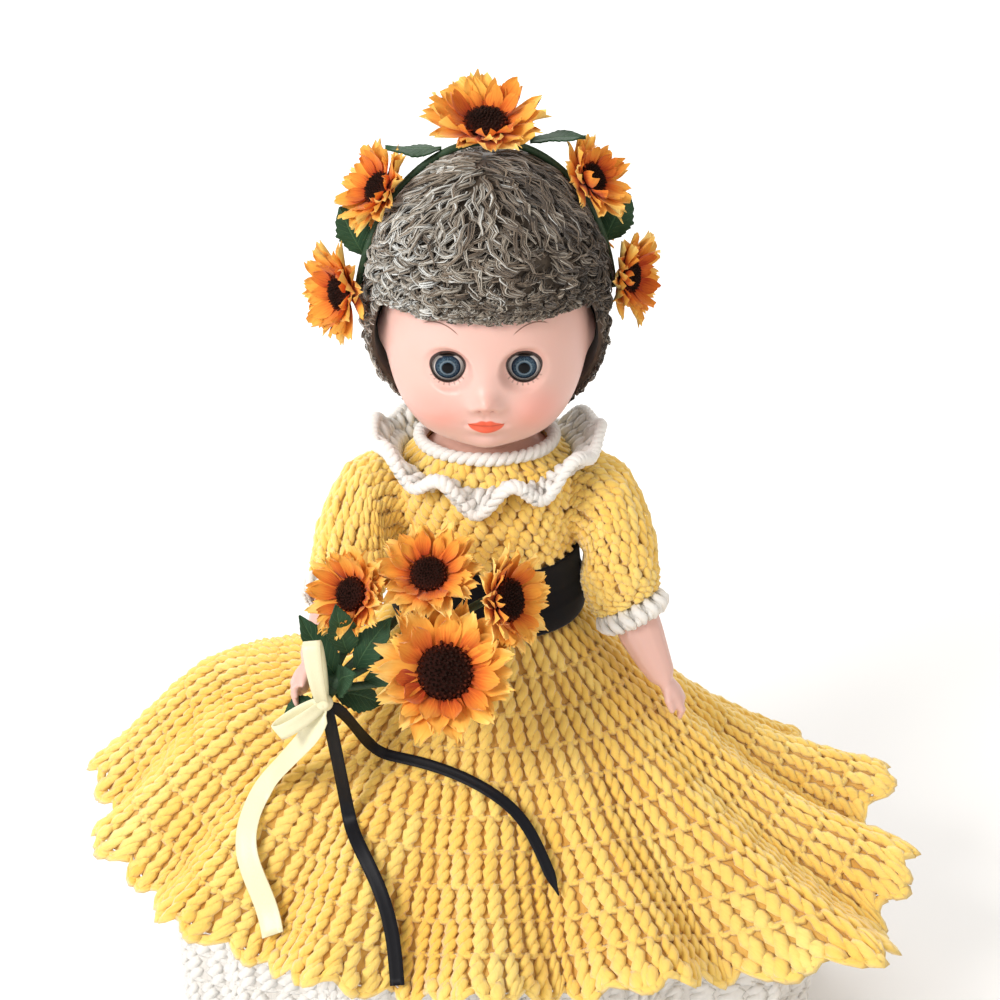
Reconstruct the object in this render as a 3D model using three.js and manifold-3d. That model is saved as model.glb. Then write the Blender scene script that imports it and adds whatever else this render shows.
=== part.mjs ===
// A vinyl play doll in a crocheted dress, standing, holding a posy of cloth sunflowers.
// Millimetres, +Z up. The doll faces -Y, its left hand is at +X, and it stands on Z = 0.
import * as THREE from "three";
import { mergeVertices } from "three/addons/utils/BufferGeometryUtils.js";
import Module from "manifold-3d";

const wasm = await Module();
wasm.setup();

// Clearances
const seatGap = 0.3;
const runGap = 0.5;
const clothGap = 1.5;
const sunk = 1;
const overrun = 30;

// Colours and finishes
const finish = (color, roughness, metalness = 0) =>
  new THREE.MeshStandardMaterial({ color, roughness, metalness });
const skin = finish(0xe9b9a4, 0.45);
const hardVinyl = finish(0xe3b29c, 0.5);
const eyeWhite = finish(0xf2f0ea, 0.15);
const lashBlack = finish(0x14100f, 0.8);
const caseIvory = finish(0xd9cfc0, 0.5);
const lead = finish(0x6d7074, 0.5, 0.8);
const hairGrey = finish(0x8b857a, 0.8);
const wire = finish(0x2f4a2e, 0.6, 0.2);
const petalOrange = finish(0xe8962a, 0.8);
const discBrown = finish(0x2a120a, 0.95);
const leafGreen = finish(0x23402c, 0.75);
const yarnYellow = finish(0xf0bf3c, 0.95);
const yarnWhite = finish(0xf3efe6, 0.95);
const satinBlack = finish(0x0b0b0f, 0.5);
const satinCream = finish(0xf1edcd, 0.35);
const pearl = finish(0xf5efdf, 0.25);

// Helpers
const point = (x, y, z) => new THREE.Vector3(x, y, z);
const degrees = Math.PI / 180;
const halfTurnDegrees = 180;
const fullTurn = 2 * Math.PI;
const mix = (a, b, t) => a + (b - a) * t;
const smooth = (low, high, v) => THREE.MathUtils.smoothstep(v, low, high);
const steps = (count, make) => Array.from({ length: count }, (_, i) => make(i));

// A closed solid from rings with the same number of points. A loop joins the last ring to the first.
function loft(rings, loop = false) {
  const count = rings[0].length;
  const points = rings.flat();
  const faces = [];
  const bands = loop ? rings.length : rings.length - 1;
  for (let i = 0; i < bands; i++) {
    const a = i * count;
    const b = ((i + 1) % rings.length) * count;
    for (let j = 0; j < count; j++) {
      const k = (j + 1) % count;
      faces.push([a + j, a + k, b + k], [a + j, b + k, b + j]);
    }
  }
  if (!loop) {
    for (const end of [0, rings.length - 1]) {
      const middle = points.length;
      const sum = rings[end].reduce((s, p) => s.add(p), point(0, 0, 0));
      points.push(sum.divideScalar(count));
      for (let j = 0; j < count; j++) {
        const pair = [end * count + j, end * count + ((j + 1) % count)];
        faces.push(end ? [middle, ...pair] : [middle, ...pair.reverse()]);
      }
    }
  }
  const volume = faces.reduce((v, [a, b, c]) => {
    return v + points[a].dot(point(0, 0, 0).crossVectors(points[b], points[c]));
  }, 0);
  if (volume < 0) faces.forEach((face) => face.reverse());
  const geometry = new THREE.BufferGeometry().setFromPoints(points);
  geometry.setIndex(faces.flat());
  return geometry;
}

function solidOf(geometry) {
  const bare = geometry.clone();
  bare.deleteAttribute("normal");
  bare.deleteAttribute("uv");
  const merged = mergeVertices(bare);
  return new wasm.Manifold(
    new wasm.Mesh({
      numProp: 3,
      vertProperties: merged.attributes.position.array,
      triVerts: new Uint32Array(merged.index.array),
    }),
  );
}

function geometryOf(solid) {
  const mesh = solid.getMesh();
  const geometry = new THREE.BufferGeometry();
  geometry.setAttribute("position", new THREE.BufferAttribute(mesh.vertProperties, 3));
  geometry.setIndex(new THREE.BufferAttribute(mesh.triVerts, 1));
  return geometry;
}

// The biggest separate body of a geometry, without the crumbs that a cut leaves.
function mainBody(geometry) {
  const bodies = solidOf(geometry).decompose();
  return geometryOf(bodies.reduce((a, b) => (b.volume() > a.volume() ? b : a)));
}

const join = (geometries) => geometryOf(geometries.map(solidOf).reduce((a, b) => a.add(b)));
const cut = (geometry, ...tools) =>
  geometryOf(tools.map(solidOf).reduce((a, b) => a.subtract(b), solidOf(geometry)));

// A ring of points round a centre, square to a direction; across lies near +Y.
function ringAt(centre, direction, across, along, count) {
  const n = direction.clone().normalize();
  const u = point(0, 0, 0).crossVectors(n, point(0, 1, 0)).normalize();
  const v = point(0, 0, 0).crossVectors(n, u);
  return steps(count, (j) => {
    const a = (fullTurn * j) / count;
    return centre
      .clone()
      .addScaledVector(u, across * Math.cos(a))
      .addScaledVector(v, along * Math.sin(a));
  });
}

const levelRing = (rx, ry, z, count, shiftY = 0) =>
  steps(count, (j) => {
    const a = (fullTurn * j) / count;
    return point(rx * Math.cos(a), shiftY + ry * Math.sin(a), z);
  });

// A round rod through a list of points, with a radius at each.
function rod(points, radii, sides) {
  const rings = points.map((p, i) => {
    const before = points[Math.max(i - 1, 0)];
    const after = points[Math.min(i + 1, points.length - 1)];
    return ringAt(p, after.clone().sub(before), radii[i], radii[i], sides);
  });
  return loft(rings);
}

// A rod along X from one x to another, for bores and pins.
function crossPin(from, to, radius, y, z, sides) {
  const pin = new THREE.CylinderGeometry(radius, radius, Math.abs(to - from), sides);
  return pin.rotateZ(Math.PI / 2).translate((from + to) / 2, y, z);
}

const block = (x0, x1, y0, y1, z0, z1) =>
  new THREE.BoxGeometry(x1 - x0, y1 - y0, z1 - z0).translate(
    (x0 + x1) / 2,
    (y0 + y1) / 2,
    (z0 + z1) / 2,
  );

// A flat ribbon through points, its width along a side direction at each, its ends square.
function ribbon(points, sides, width, thickness, loop = false) {
  const last = points.length - 1;
  const rings = points.map((p, i) => {
    const before = loop ? points[(i + last) % points.length] : points[Math.max(i - 1, 0)];
    const after = loop ? points[(i + 1) % points.length] : points[Math.min(i + 1, last)];
    const along = after.clone().sub(before).normalize();
    const side = sides[i].clone().addScaledVector(along, -sides[i].dot(along)).normalize();
    const up = point(0, 0, 0).crossVectors(along, side);
    return [[-1, -1], [1, -1], [1, 1], [-1, 1]].map(([s, u]) =>
      p.clone().addScaledVector(side, (s * width) / 2).addScaledVector(up, (u * thickness) / 2),
    );
  });
  return loft(rings, loop);
}

// A lathe about Y as one closed surface with its faces outward.
function turned(outline, sides) {
  const bare = new THREE.LatheGeometry(outline, sides);
  bare.deleteAttribute("normal");
  bare.deleteAttribute("uv");
  const merged = mergeVertices(bare);
  const spots = merged.attributes.position;
  const at = (i) => point(spots.getX(i), spots.getY(i), spots.getZ(i));
  const index = [...merged.index.array];
  const faces = steps(index.length / 3, (i) => index.slice(3 * i, 3 * i + 3));
  const whole = faces.filter(([a, b, c]) => a !== b && b !== c && a !== c);
  const volume = whole.reduce((v, [a, b, c]) => v + at(a).dot(at(b).cross(at(c))), 0);
  if (volume < 0) whole.forEach((face) => face.reverse());
  merged.setIndex(whole.flat());
  return merged;
}

function place(parent, name, geometry, material) {
  const mesh = new THREE.Mesh(geometry, material);
  mesh.name = name;
  parent.add(mesh);
  return mesh;
}

const doll = new THREE.Group();

// Legs: swivel discs at the hips, a thigh, knee, calf and a flat-soled bare foot
const hipHeight = 150;
const hipHalfGap = 13.4;
const hipDiscRadius = 19.5;
const thighHalfWidth = 12;
const thighHalfDepth = 16;
const footHalfLength = 20;
const hipStemRadius = 6.8;
const hipStemLength = 5.6;
const hipFlangeRadius = 9.2;
const hipFlangeThick = 2.6;
const legSides = 10;
const hipBackSide = hipHalfGap + seatGap;
const legMiddle = hipBackSide + thighHalfWidth;
// Each row: height below the hip as a share of hipHeight, half width and half depth as shares of
// the thigh's, and how far the ring stands forward as a share of footHalfLength.
const legShares = [
  [0.06, 1.0, 1.14, 0],
  [0.2, 1.0, 1.02, 0],
  [0.36, 0.94, 0.86, 0],
  [0.48, 0.84, 0.74, 0],
  [0.6, 0.88, 0.8, -0.03],
  [0.76, 0.74, 0.62, -0.04],
  [0.88, 0.62, 0.52, 0],
];
const footShares = [
  [0.935, 0.74, 0.7, 0.3],
  [0.97, 0.86, 0.96, 0.45],
  [1, 0.86, 1, 0.5],
];
const hipCrownShares = [0.985, 0.86, 0.5];
const hipCrownWidthShare = 0.72;

function legGeometry(side) {
  const crown = hipCrownShares.map((share) => {
    const half = hipDiscRadius * Math.sqrt(1 - share * share);
    const width = thighHalfWidth * mix(hipCrownWidthShare, 1, half / hipDiscRadius);
    return [share * hipDiscRadius, width, half, 0];
  });
  const shank = legShares.map(([down, w, d, f]) => {
    return [-down * hipHeight, w * thighHalfWidth, d * thighHalfDepth, -f * footHalfLength];
  });
  const foot = footShares.map(([down, w, d, f]) => {
    return [-down * hipHeight, w * thighHalfWidth, d * footHalfLength, -f * footHalfLength];
  });
  const rings = [...crown, ...shank, ...foot].map(([z, rx, ry, shift]) =>
    levelRing(rx, ry, z, legSides, shift).map((p) => p.setX(side * (legMiddle + p.x))),
  );
  const stemEnd = hipBackSide - hipStemLength;
  const flangeEnd = stemEnd - hipFlangeThick;
  return join([
    loft(rings),
    crossPin(side * legMiddle, side * stemEnd, hipStemRadius, 0, 0, 12),
    crossPin(side * stemEnd, side * flangeEnd, hipFlangeRadius, 0, 0, 12),
  ]);
}

for (const [name, side] of [["left", 1], ["right", -1]]) {
  const leg = new THREE.Group();
  leg.position.set(0, 0, hipHeight);
  doll.add(leg);
  place(leg, `${name}_leg`, legGeometry(side), skin);
}

// Dress bodice: a crocheted shell whose inside also shapes the torso
const waistHeight = 192.5;
const bodiceHeight = 80.2;
const bodiceHalfWidth = 44.5;
const bodiceHalfDepth = 34;
const crochetThick = 3.4;
const bodySides = 24;
const armholeRadius = 15.5;
const sleeveSeat = 1.2;
const shoulderDrop = 26.7;
const shoulderInset = 6.5;
const shoulderHalfWidth = bodiceHalfWidth - shoulderInset;
const shoulderHeight = waistHeight + bodiceHeight - shoulderDrop;
// Each row: height as a share of bodiceHeight, then half width and half depth as shares.
const bodiceShares = [
  [0, 0.92, 0.95],
  [0.16, 0.955, 0.95],
  [0.26, 0.885, 0.95],
  [0.43, 0.85, 0.97],
  [0.62, 0.875, 1],
  [0.77, 0.875, 0.97],
  [0.88, 0.845, 0.88],
  [0.95, 0.77, 0.8],
  [1, 0.65, 0.72],
];
const bodiceRow = ([h, w, d], inset) => [
  w * bodiceHalfWidth - inset,
  d * bodiceHalfDepth - inset,
  waistHeight + h * bodiceHeight,
];

function bodiceRadii(height) {
  const share = THREE.MathUtils.clamp((height - waistHeight) / bodiceHeight, 0, 1);
  const after = Math.max(1, bodiceShares.findIndex((row) => row[0] >= share));
  const [low, high] = [bodiceShares[after - 1], bodiceShares[after]];
  const t = (share - low[0]) / (high[0] - low[0]);
  return [
    mix(low[1], high[1], t) * bodiceHalfWidth,
    mix(low[2], high[2], t) * bodiceHalfDepth,
  ];
}

const bodiceOuter = bodiceShares.map((row) => levelRing(...bodiceRow(row, 0), bodySides));
const bodiceInner = bodiceShares.map((row) => levelRing(...bodiceRow(row, crochetThick), bodySides));
const armhole = crossPin(
  -bodiceHalfWidth - overrun,
  bodiceHalfWidth + overrun,
  armholeRadius,
  0,
  shoulderHeight,
  20,
);

// What lies outside a flat on each side, from a height up, to trim a body where a sleeve or arm sits.
const sideTrims = (flat, low) =>
  [[-bodiceHalfWidth - overrun, -flat], [flat, bodiceHalfWidth + overrun]].map(([from, to]) =>
    block(
      from,
      to,
      -bodiceHalfDepth - overrun,
      bodiceHalfDepth + overrun,
      low,
      waistHeight + bodiceHeight + overrun,
    ),
  );
const sleeveSeatRadius = armholeRadius + sleeveSeat;
const bodiceTrims = sideTrims(shoulderHalfWidth, shoulderHeight - sleeveSeatRadius - seatGap);
const bodiceShell = loft([...bodiceOuter, ...bodiceInner.reverse()], true);
place(doll, "bodice", cut(bodiceShell, armhole, ...bodiceTrims), yarnYellow);

// Torso: blow-moulded body with snap sockets for neck, arms and legs
const torsoInset = crochetThick + runGap;
const hipHalfWidth = 37;
const hipHalfDepth = 28;
const neckRadius = 15;
const neckKnobRadius = 17.5;
const neckKnobThick = 3;
const neckRise = 3.3;
const armRootInset = 6;
const armRoot = shoulderHalfWidth - armRootInset;
const armStemRadius = 8.4;
const armStemLength = 6;
const armFlangeRadius = 11.2;
const armFlangeThick = 3;
// Heights as shares of the way from the floor of the torso to the waist, then shares of the hips.
const hipWidestShare = 1.02;
const hipShares = [
  [0, 0.28, 0.42],
  [0.12, 0.6, 0.68],
  [0.3, 0.9, 0.8],
  [0.5, 1, 0.9],
  [0.72, hipWidestShare, hipWidestShare],
];
const crotchDrop = 13.5;
const torsoFloor = hipHeight - crotchDrop;
const neckBase = waistHeight + bodiceHeight + neckRise;
const headWall = 3.5;
const headDown = 48;
const headBase = neckBase + seatGap + neckRise;
const headHalfWidth = 42;

// The head's floor round the neck hole, where the neck's knob rests.
const neckHole = neckRadius + runGap;
const knobFloor =
  headBase +
  headDown -
  (headDown - headWall) * Math.sqrt(1 - (neckHole / (headHalfWidth - headWall)) ** 2) +
  seatGap;
const knobSeat = knobFloor + headWall / 2;

const socketSides = 10;
const socketFit = 1 / Math.cos(Math.PI / socketSides);

function socket(side, face, radius, depth, chamberRadius, chamberDepth, z) {
  const floor = face - depth;
  const bore = radius * socketFit;
  const chamber = chamberRadius * socketFit;
  return [
    crossPin(side * (face + overrun), side * floor, bore, 0, z, socketSides),
    crossPin(side * floor, side * (floor - chamberDepth), chamber, 0, z, socketSides),
  ];
}

const torsoRings = [
  ...hipShares.map(([h, w, d]) =>
    levelRing(w * hipHalfWidth, d * hipHalfDepth, mix(torsoFloor, waistHeight, h), bodySides),
  ),
  ...bodiceShares.map((row) => levelRing(...bodiceRow(row, torsoInset), bodySides)),
  levelRing(neckRadius, neckRadius, neckBase, bodySides),
  levelRing(neckRadius, neckRadius, knobSeat, bodySides),
  levelRing(neckKnobRadius, neckKnobRadius, knobSeat, bodySides),
  levelRing(neckRadius, neckRadius, knobSeat + neckKnobThick, bodySides),
];
const torsoTools = [1, -1].flatMap((side) => [
  ...socket(
    side,
    armRoot,
    armStemRadius + runGap,
    armStemLength - runGap,
    armFlangeRadius + runGap,
    armFlangeThick + 2 * runGap,
    shoulderHeight,
  ),
  ...socket(
    side,
    hipHalfGap,
    hipStemRadius + runGap,
    hipStemLength - seatGap - runGap,
    hipFlangeRadius + runGap,
    hipFlangeThick + 2 * runGap,
    hipHeight,
  ),
  crossPin(
    side * hipHalfGap,
    side * (hipHalfWidth + overrun),
    hipDiscRadius + runGap,
    0,
    hipHeight,
    18,
  ),
]);
torsoTools.push(...sideTrims(armRoot, shoulderHeight - armholeRadius - runGap));
place(doll, "torso", cut(loft(torsoRings), ...torsoTools), hardVinyl);

// Arms: one pattern, mirrored; the right one is raised to hold the posy
const armReach = 107;
const armRadius = 12.4;
const armSides = 12;
const handHalfBreadth = 8;
const handHalfThick = 4.3;
const fingerRadius = 2.3;
const rightArmRaiseDegrees = 36;
const rightForearmTuckShare = 0.23;
const elbowOutShare = 0.2;
// Each row: out, forward and down as shares of armReach, then a radius as a share of armRadius.
const armShares = [
  [0, 0, 0, 0.96],
  [0.05, 0, 0.005, 1],
  [0.14, 0.023, 0.056, 0.98],
  [0.2, 0.061, 0.15, 0.93],
  [0.237, 0.107, 0.271, 0.88],
  [0.275, 0.164, 0.402, 0.86],
  [0.325, 0.215, 0.519, 0.8],
  [0.376, 0.257, 0.617, 0.62],
  [0.406, 0.28, 0.668, 0.5],
];
// The palm's rings: the last number shares out the hand's breadth.
const palmShares = [
  [0.424, 0.29, 0.695, 0.78],
  [0.45, 0.301, 0.735, 1],
  [0.476, 0.311, 0.78, 0.95],
];
// Each finger: place across the hand as a share of its half breadth, and length as a share of armReach.
const fingerShares = [
  [-0.75, 0.085],
  [-0.26, 0.105],
  [0.26, 0.1],
  [0.72, 0.08],
];
const thumbShares = [
  [0.427, 0.33, 0.7],
  [0.43, 0.375, 0.735],
  [0.447, 0.395, 0.78],
];
const fingerTaperShares = [1, 0.92, 0.55];
const thumbTaperShares = [1.2, 1, 0.6];
const fingerCurlShare = 0.25;

function armPoint(side, [out, forward, down]) {
  const tuck = side < 0 ? rightForearmTuckShare * Math.max(0, out - elbowOutShare) : 0;
  const reach = armRoot + seatGap + (out - tuck) * armReach;
  return point(side * reach, -forward * armReach, -down * armReach);
}

// Grow makes the same arm larger all round, as the tool that hollows what fits over it.
function armGeometry(side, grow, withStem) {
  const path = [...armShares, ...palmShares].map((row) => armPoint(side, row));
  const rings = path.map((p, i) => {
    const before = path[Math.max(i - 1, 0)];
    const after = path[Math.min(i + 1, path.length - 1)];
    const along = i ? after.clone().sub(before) : point(side, 0, 0);
    const arm = i < armShares.length;
    const row = arm ? armShares[i] : palmShares[i - armShares.length];
    const across = arm ? row[3] * armRadius : row[3] * handHalfThick;
    const deep = arm ? row[3] * armRadius : row[3] * handHalfBreadth;
    return ringAt(p, along, across + grow, deep + grow, armSides);
  });
  const pieces = [loft(rings)];
  const knuckle = path[path.length - 1];
  const lean = knuckle.clone().sub(path[path.length - 3]).normalize();
  const breadth = point(0, 0, 0).crossVectors(lean, point(1, 0, 0)).normalize();
  for (const [share, long] of fingerShares) {
    const start = knuckle
      .clone()
      .addScaledVector(breadth, share * handHalfBreadth)
      .addScaledVector(lean, -fingerRadius);
    const bend = point(-side * fingerCurlShare, 0, -1).normalize();
    const middle = start.clone().addScaledVector(lean, (long * armReach) / 2);
    const tip = middle.clone().addScaledVector(bend, (long * armReach) / 2);
    const radii = fingerTaperShares.map((r) => r * fingerRadius + grow);
    pieces.push(rod([start, middle, tip], radii, 5));
  }
  const thumb = thumbShares.map((row) => armPoint(side, row));
  pieces.push(rod(thumb, thumbTaperShares.map((r) => r * fingerRadius + grow), 5));
  if (withStem) {
    const face = armRoot + seatGap;
    const stemEnd = armRoot - armStemLength;
    pieces.push(crossPin(side * (face + sunk), side * stemEnd, armStemRadius, 0, 0, 12));
    pieces.push(crossPin(side * stemEnd, side * (stemEnd - armFlangeThick), armFlangeRadius, 0, 0, 12));
  }
  return join(pieces);
}

// Puffed sleeves and rolled white cuffs, worn on the arms
const sleevePuff = 23.2;
const sleeveSides = 16;
const cuffOuter = 15.5;
const cuffLength = 9;
// Out from the armhole, forward and down as shares of armReach, tilt in degrees, radius share.
const sleeveShares = [
  [0, 0, 0, 0, sleeveSeatRadius / sleevePuff],
  [0.062, 0.01, 0.018, 8, 0.93],
  [0.115, 0.035, 0.07, 24, 0.98],
  [0.15, 0.075, 0.16, 42, 0.87],
  [0.176, 0.112, 0.255, 56, 0.78],
  [0.196, 0.145, 0.345, 62, 0.68],
  [0.21, 0.163, 0.392, 64, 0.62],
];
const cuffShares = [
  [0, 0.9],
  [0.35, 1],
  [0.75, 1],
  [1, 0.88],
];

const sleeveForwardShare = 0.35;
const sleeveDownShare = 0.94;

function sleeveDirection(side, tilt) {
  const down = Math.sin(tilt * degrees);
  const out = side * Math.cos(tilt * degrees);
  return point(out, -sleeveForwardShare * down, -sleeveDownShare * down).normalize();
}

const sleevePoint = (side, out, forward, down) =>
  point(side * (shoulderHalfWidth + seatGap + out * armReach), -forward * armReach, -down * armReach);

function sleeveGeometry(side) {
  const rings = sleeveShares.map(([out, forward, down, tilt, share]) => {
    const direction = sleeveDirection(side, tilt);
    const radius = share * sleevePuff;
    return ringAt(sleevePoint(side, out, forward, down), direction, radius, radius, sleeveSides);
  });
  return cut(loft(rings), armGeometry(side, runGap, false));
}

function cuffGeometry(side) {
  const [out, forward, down, tilt] = sleeveShares[sleeveShares.length - 1];
  const direction = sleeveDirection(side, tilt);
  const start = sleevePoint(side, out, forward, down).addScaledVector(direction, seatGap);
  const rings = cuffShares.map(([along, share]) =>
    ringAt(
      start.clone().addScaledVector(direction, along * cuffLength),
      direction,
      share * cuffOuter,
      share * cuffOuter,
      sleeveSides,
    ),
  );
  return cut(loft(rings), armGeometry(side, runGap, false));
}

const armGroups = {};
for (const [name, side, raise] of [["left", 1, 0], ["right", -1, rightArmRaiseDegrees]]) {
  const arm = new THREE.Group();
  arm.position.set(0, 0, shoulderHeight);
  arm.rotation.x = -raise * degrees;
  doll.add(arm);
  place(arm, `${name}_arm`, armGeometry(side, 0, true), skin);
  place(arm, `${name}_sleeve`, sleeveGeometry(side), yarnYellow);
  place(arm, `${name}_cuff`, cuffGeometry(side), yarnWhite);
  arm.updateMatrixWorld(true);
  armGroups[name] = arm;
}

// White collar: a rolled neck band, and a waved ruffle round the yoke that stands up at the shoulders
const bandRadiusX = 28.4;
const bandRadiusY = 24.2;
const bandThick = 2.8;
const ruffleBelow = 7.7;
const ruffleReachX = 48.5;
const ruffleReachY = 39.5;
const ruffleThick = 2.4;
const ruffleWaves = 10;
const ruffleWaveTurnDegrees = 12.6;
const ruffleWavePowerShare = 1.3;
const ruffleFrontWave = 6.5;
const ruffleSideWave = 2;
const ruffleFrontDrop = 1.5;
const ruffleSideRise = 14.5;
const collarSides = 24;
const bandSides = 5;
const bandHeight = waistHeight + bodiceHeight + bandThick + seatGap;
const bandRings = steps(bandSides, (i) => {
  const a = (fullTurn * i) / bandSides;
  const out = bandThick * Math.cos(a);
  const up = bandThick * Math.sin(a);
  return levelRing(bandRadiusX + out, bandRadiusY + out, bandHeight + up, collarSides);
});
place(doll, "collar_band", loft(bandRings, true), yarnWhite);

const ruffleHeight = waistHeight + bodiceHeight - ruffleBelow;
const ruffleSeat = bodiceRadii(ruffleHeight - ruffleThick / 2).map((radius) => radius + seatGap);

function rufflePoint(turn, t, lift) {
  const rx = mix(ruffleSeat[0], ruffleReachX, t);
  const ry = mix(ruffleSeat[1], ruffleReachY, t);
  const front = Math.sin(turn) ** 2;
  const rise = mix(ruffleSideRise, -ruffleFrontDrop, front) * t;
  const crest = Math.cos(ruffleWaves * (turn + Math.PI / 2 - ruffleWaveTurnDegrees * degrees));
  const wave = mix(ruffleSideWave, ruffleFrontWave, front) * t ** ruffleWavePowerShare * crest;
  return point(rx * Math.cos(turn), ry * Math.sin(turn), ruffleHeight + rise + wave + lift);
}

const ruffleColumns = ruffleWaves * 4;
const ruffleRowShares = [0, 0.55, 1];
const ruffleRing = (t, lift) =>
  steps(ruffleColumns, (j) => rufflePoint((fullTurn * j) / ruffleColumns, t, lift));
const ruffleRings = [
  ...ruffleRowShares.map((t) => ruffleRing(t, ruffleThick / 2)),
  ...ruffleRowShares.toReversed().map((t) => ruffleRing(t, -ruffleThick / 2)),
];
place(doll, "collar_ruffle", loft(ruffleRings, true), yarnWhite);

// Sash: a wide black band round the waist, tied behind in a bow whose tails fall over the skirt
const sashRise = 1.5;
const sashWidth = 32.5;
const sashBottom = waistHeight + sashRise;
const sashTop = sashBottom + sashWidth;
const sashThick = 1.5;
const sashLoose = 0.2;
const sashRing = (height, inset) => {
  const [rx, ry] = bodiceRadii(height);
  return levelRing(rx + seatGap + inset, ry + seatGap + inset, height, bodySides);
};
const bodiceHeights = bodiceShares.map(([share]) => waistHeight + share * bodiceHeight);
const underSash = bodiceHeights.filter((height) => height > sashBottom && height < sashTop);
const sashHeights = [sashBottom, ...underSash, sashTop];
const sashRings = [
  ...sashHeights.map((h) => sashRing(h, sashThick)),
  ...sashHeights.toReversed().map((h) => sashRing(h, sashLoose)),
];
place(doll, "sash", loft(sashRings, true), satinBlack);

// Skirt: a crocheted bell in deep folds, over a longer white petticoat that reaches the floor
const skirtTop = waistHeight - seatGap;
const hemHeight = 96;
const hemRadiusX = 176;
const hemRadiusY = 141;
const skirtThick = 3.4;
const skirtFolds = 16;
const foldDepth = 9.5;
const foldPowerShare = 2.5;
const foldGainShare = 0.4;
const rightLift = 30;
const leftDroop = 8;
const sideShare = 0.63;
const sideSpreadShare = 0.33;
const sideStartShare = 0.2;
const rightLiftPower = 4;
const backDroop = 25;
const backShortShare = 0.35;
const backTurnDegrees = 60;
const lobeDegrees = -40;
const lobeShare = 0.2;
const lobePower = 25;
const skirtColumns = skirtFolds * 4;
const skirtDropPowerShare = 0.862;
const skirtWaistX = bodiceShares[0][1] * bodiceHalfWidth;
const skirtWaistY = bodiceShares[0][2] * bodiceHalfDepth;

// The skirt isn't even: it swells over a fold of the petticoat on the doll's right, sags on its
// left, falls closer to the legs behind, and has its fullest lobe in front of the left side.
const sideBell = (share) =>
  Math.exp(-(((share - sideShare) / sideSpreadShare) ** 2)) * smooth(0, sideStartShare, share);
const swellAt = (turn, share) => sideBell(share) * Math.max(0, -Math.cos(turn)) ** rightLiftPower;
const droopAt = (turn, share) => sideBell(share) * Math.max(0, Math.cos(turn)) ** 2;
const behindAt = (turn) => smooth(0, Math.sin(backTurnDegrees * degrees), Math.sin(turn));
const towardLobe = (turn) => Math.cos(turn - lobeDegrees * degrees);
const foldWave = (turn) => Math.cos(skirtFolds * (turn + Math.PI / 2));

function skirtMiddle(turn, share) {
  const behind = share * behindAt(turn);
  const lobe = lobeShare * share ** 2 * Math.max(0, towardLobe(turn)) ** lobePower;
  const reach = 1 - backShortShare * behind + lobe;
  const rx = mix(skirtWaistX - skirtThick / 2, hemRadiusX, share) * reach;
  const ry = mix(skirtWaistY - skirtThick / 2, hemRadiusY, share) * reach;
  const drop = (skirtTop - hemHeight) * share ** skirtDropPowerShare + backDroop * behind;
  const z = skirtTop - drop + rightLift * swellAt(turn, share) - leftDroop * droopAt(turn, share);
  const gain = 1 + foldGainShare * towardLobe(turn);
  const fold = foldDepth * gain * share ** foldPowerShare * foldWave(turn);
  const steep = Math.SQRT1_2;
  return point(
    (rx + fold * steep) * Math.cos(turn),
    (ry + fold * steep) * Math.sin(turn),
    z + fold * steep,
  );
}

const nudge = 1 / 100;

function skirtPoint(turn, share, lift) {
  const here = skirtMiddle(turn, share);
  const round = skirtMiddle(turn + nudge, share).sub(skirtMiddle(turn - nudge, share));
  const down = skirtMiddle(turn, share + nudge).sub(skirtMiddle(turn, Math.max(share - nudge, 0)));
  const out = point(0, 0, 0).crossVectors(down, round).normalize();
  return here.addScaledVector(out, lift);
}

const skirtRowShares = [0, 0.16, 0.37, 0.58, 0.79, 1];
const skirtRing = (share, lift) =>
  steps(skirtColumns, (j) => {
    const p = skirtPoint((fullTurn * j) / skirtColumns, share, lift);
    return share ? p : p.setZ(skirtTop);
  });
const skirtRings = [
  ...skirtRowShares.map((share) => skirtRing(share, skirtThick / 2)),
  ...skirtRowShares.toReversed().map((share) => skirtRing(share, -skirtThick / 2)),
];
const skirt = place(doll, "skirt", loft(skirtRings, true), yarnYellow);

const petticoatThick = 2.6;
const petticoatFold = 6;
const petticoatTopX = hipWidestShare * hipHalfWidth + seatGap;
const petticoatTopY = hipWidestShare * hipHalfDepth + seatGap;
// Rows under the skirt as shares of its slope, and then shares of the fall to the floor.
const petticoatSlopeShares = [0.18, 0.42, 0.61, 0.78];
const petticoatFallShares = [0.55, 1];
const petticoatReachShares = [1.05, 0.99];

function petticoatPoint(turn, row, lift) {
  const under = -(skirtThick / 2 + petticoatThick / 2 + clothGap);
  if (row < petticoatSlopeShares.length) {
    const share = petticoatSlopeShares[row];
    const p = skirtPoint(turn, share, under + lift);
    return p.setZ(p.z - rightLift * swellAt(turn, share));
  }
  const fall = petticoatFallShares[row - petticoatSlopeShares.length];
  const edge = petticoatSlopeShares[petticoatSlopeShares.length - 1];
  const top = skirtPoint(turn, edge, under);
  const flat = Math.hypot(top.x, top.y);
  const fold = petticoatFold * fall * foldWave(turn);
  const reach = flat * mix(...petticoatReachShares, fall) + fold + lift;
  return point((top.x / flat) * reach, (top.y / flat) * reach, top.z * (1 - fall));
}

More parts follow.
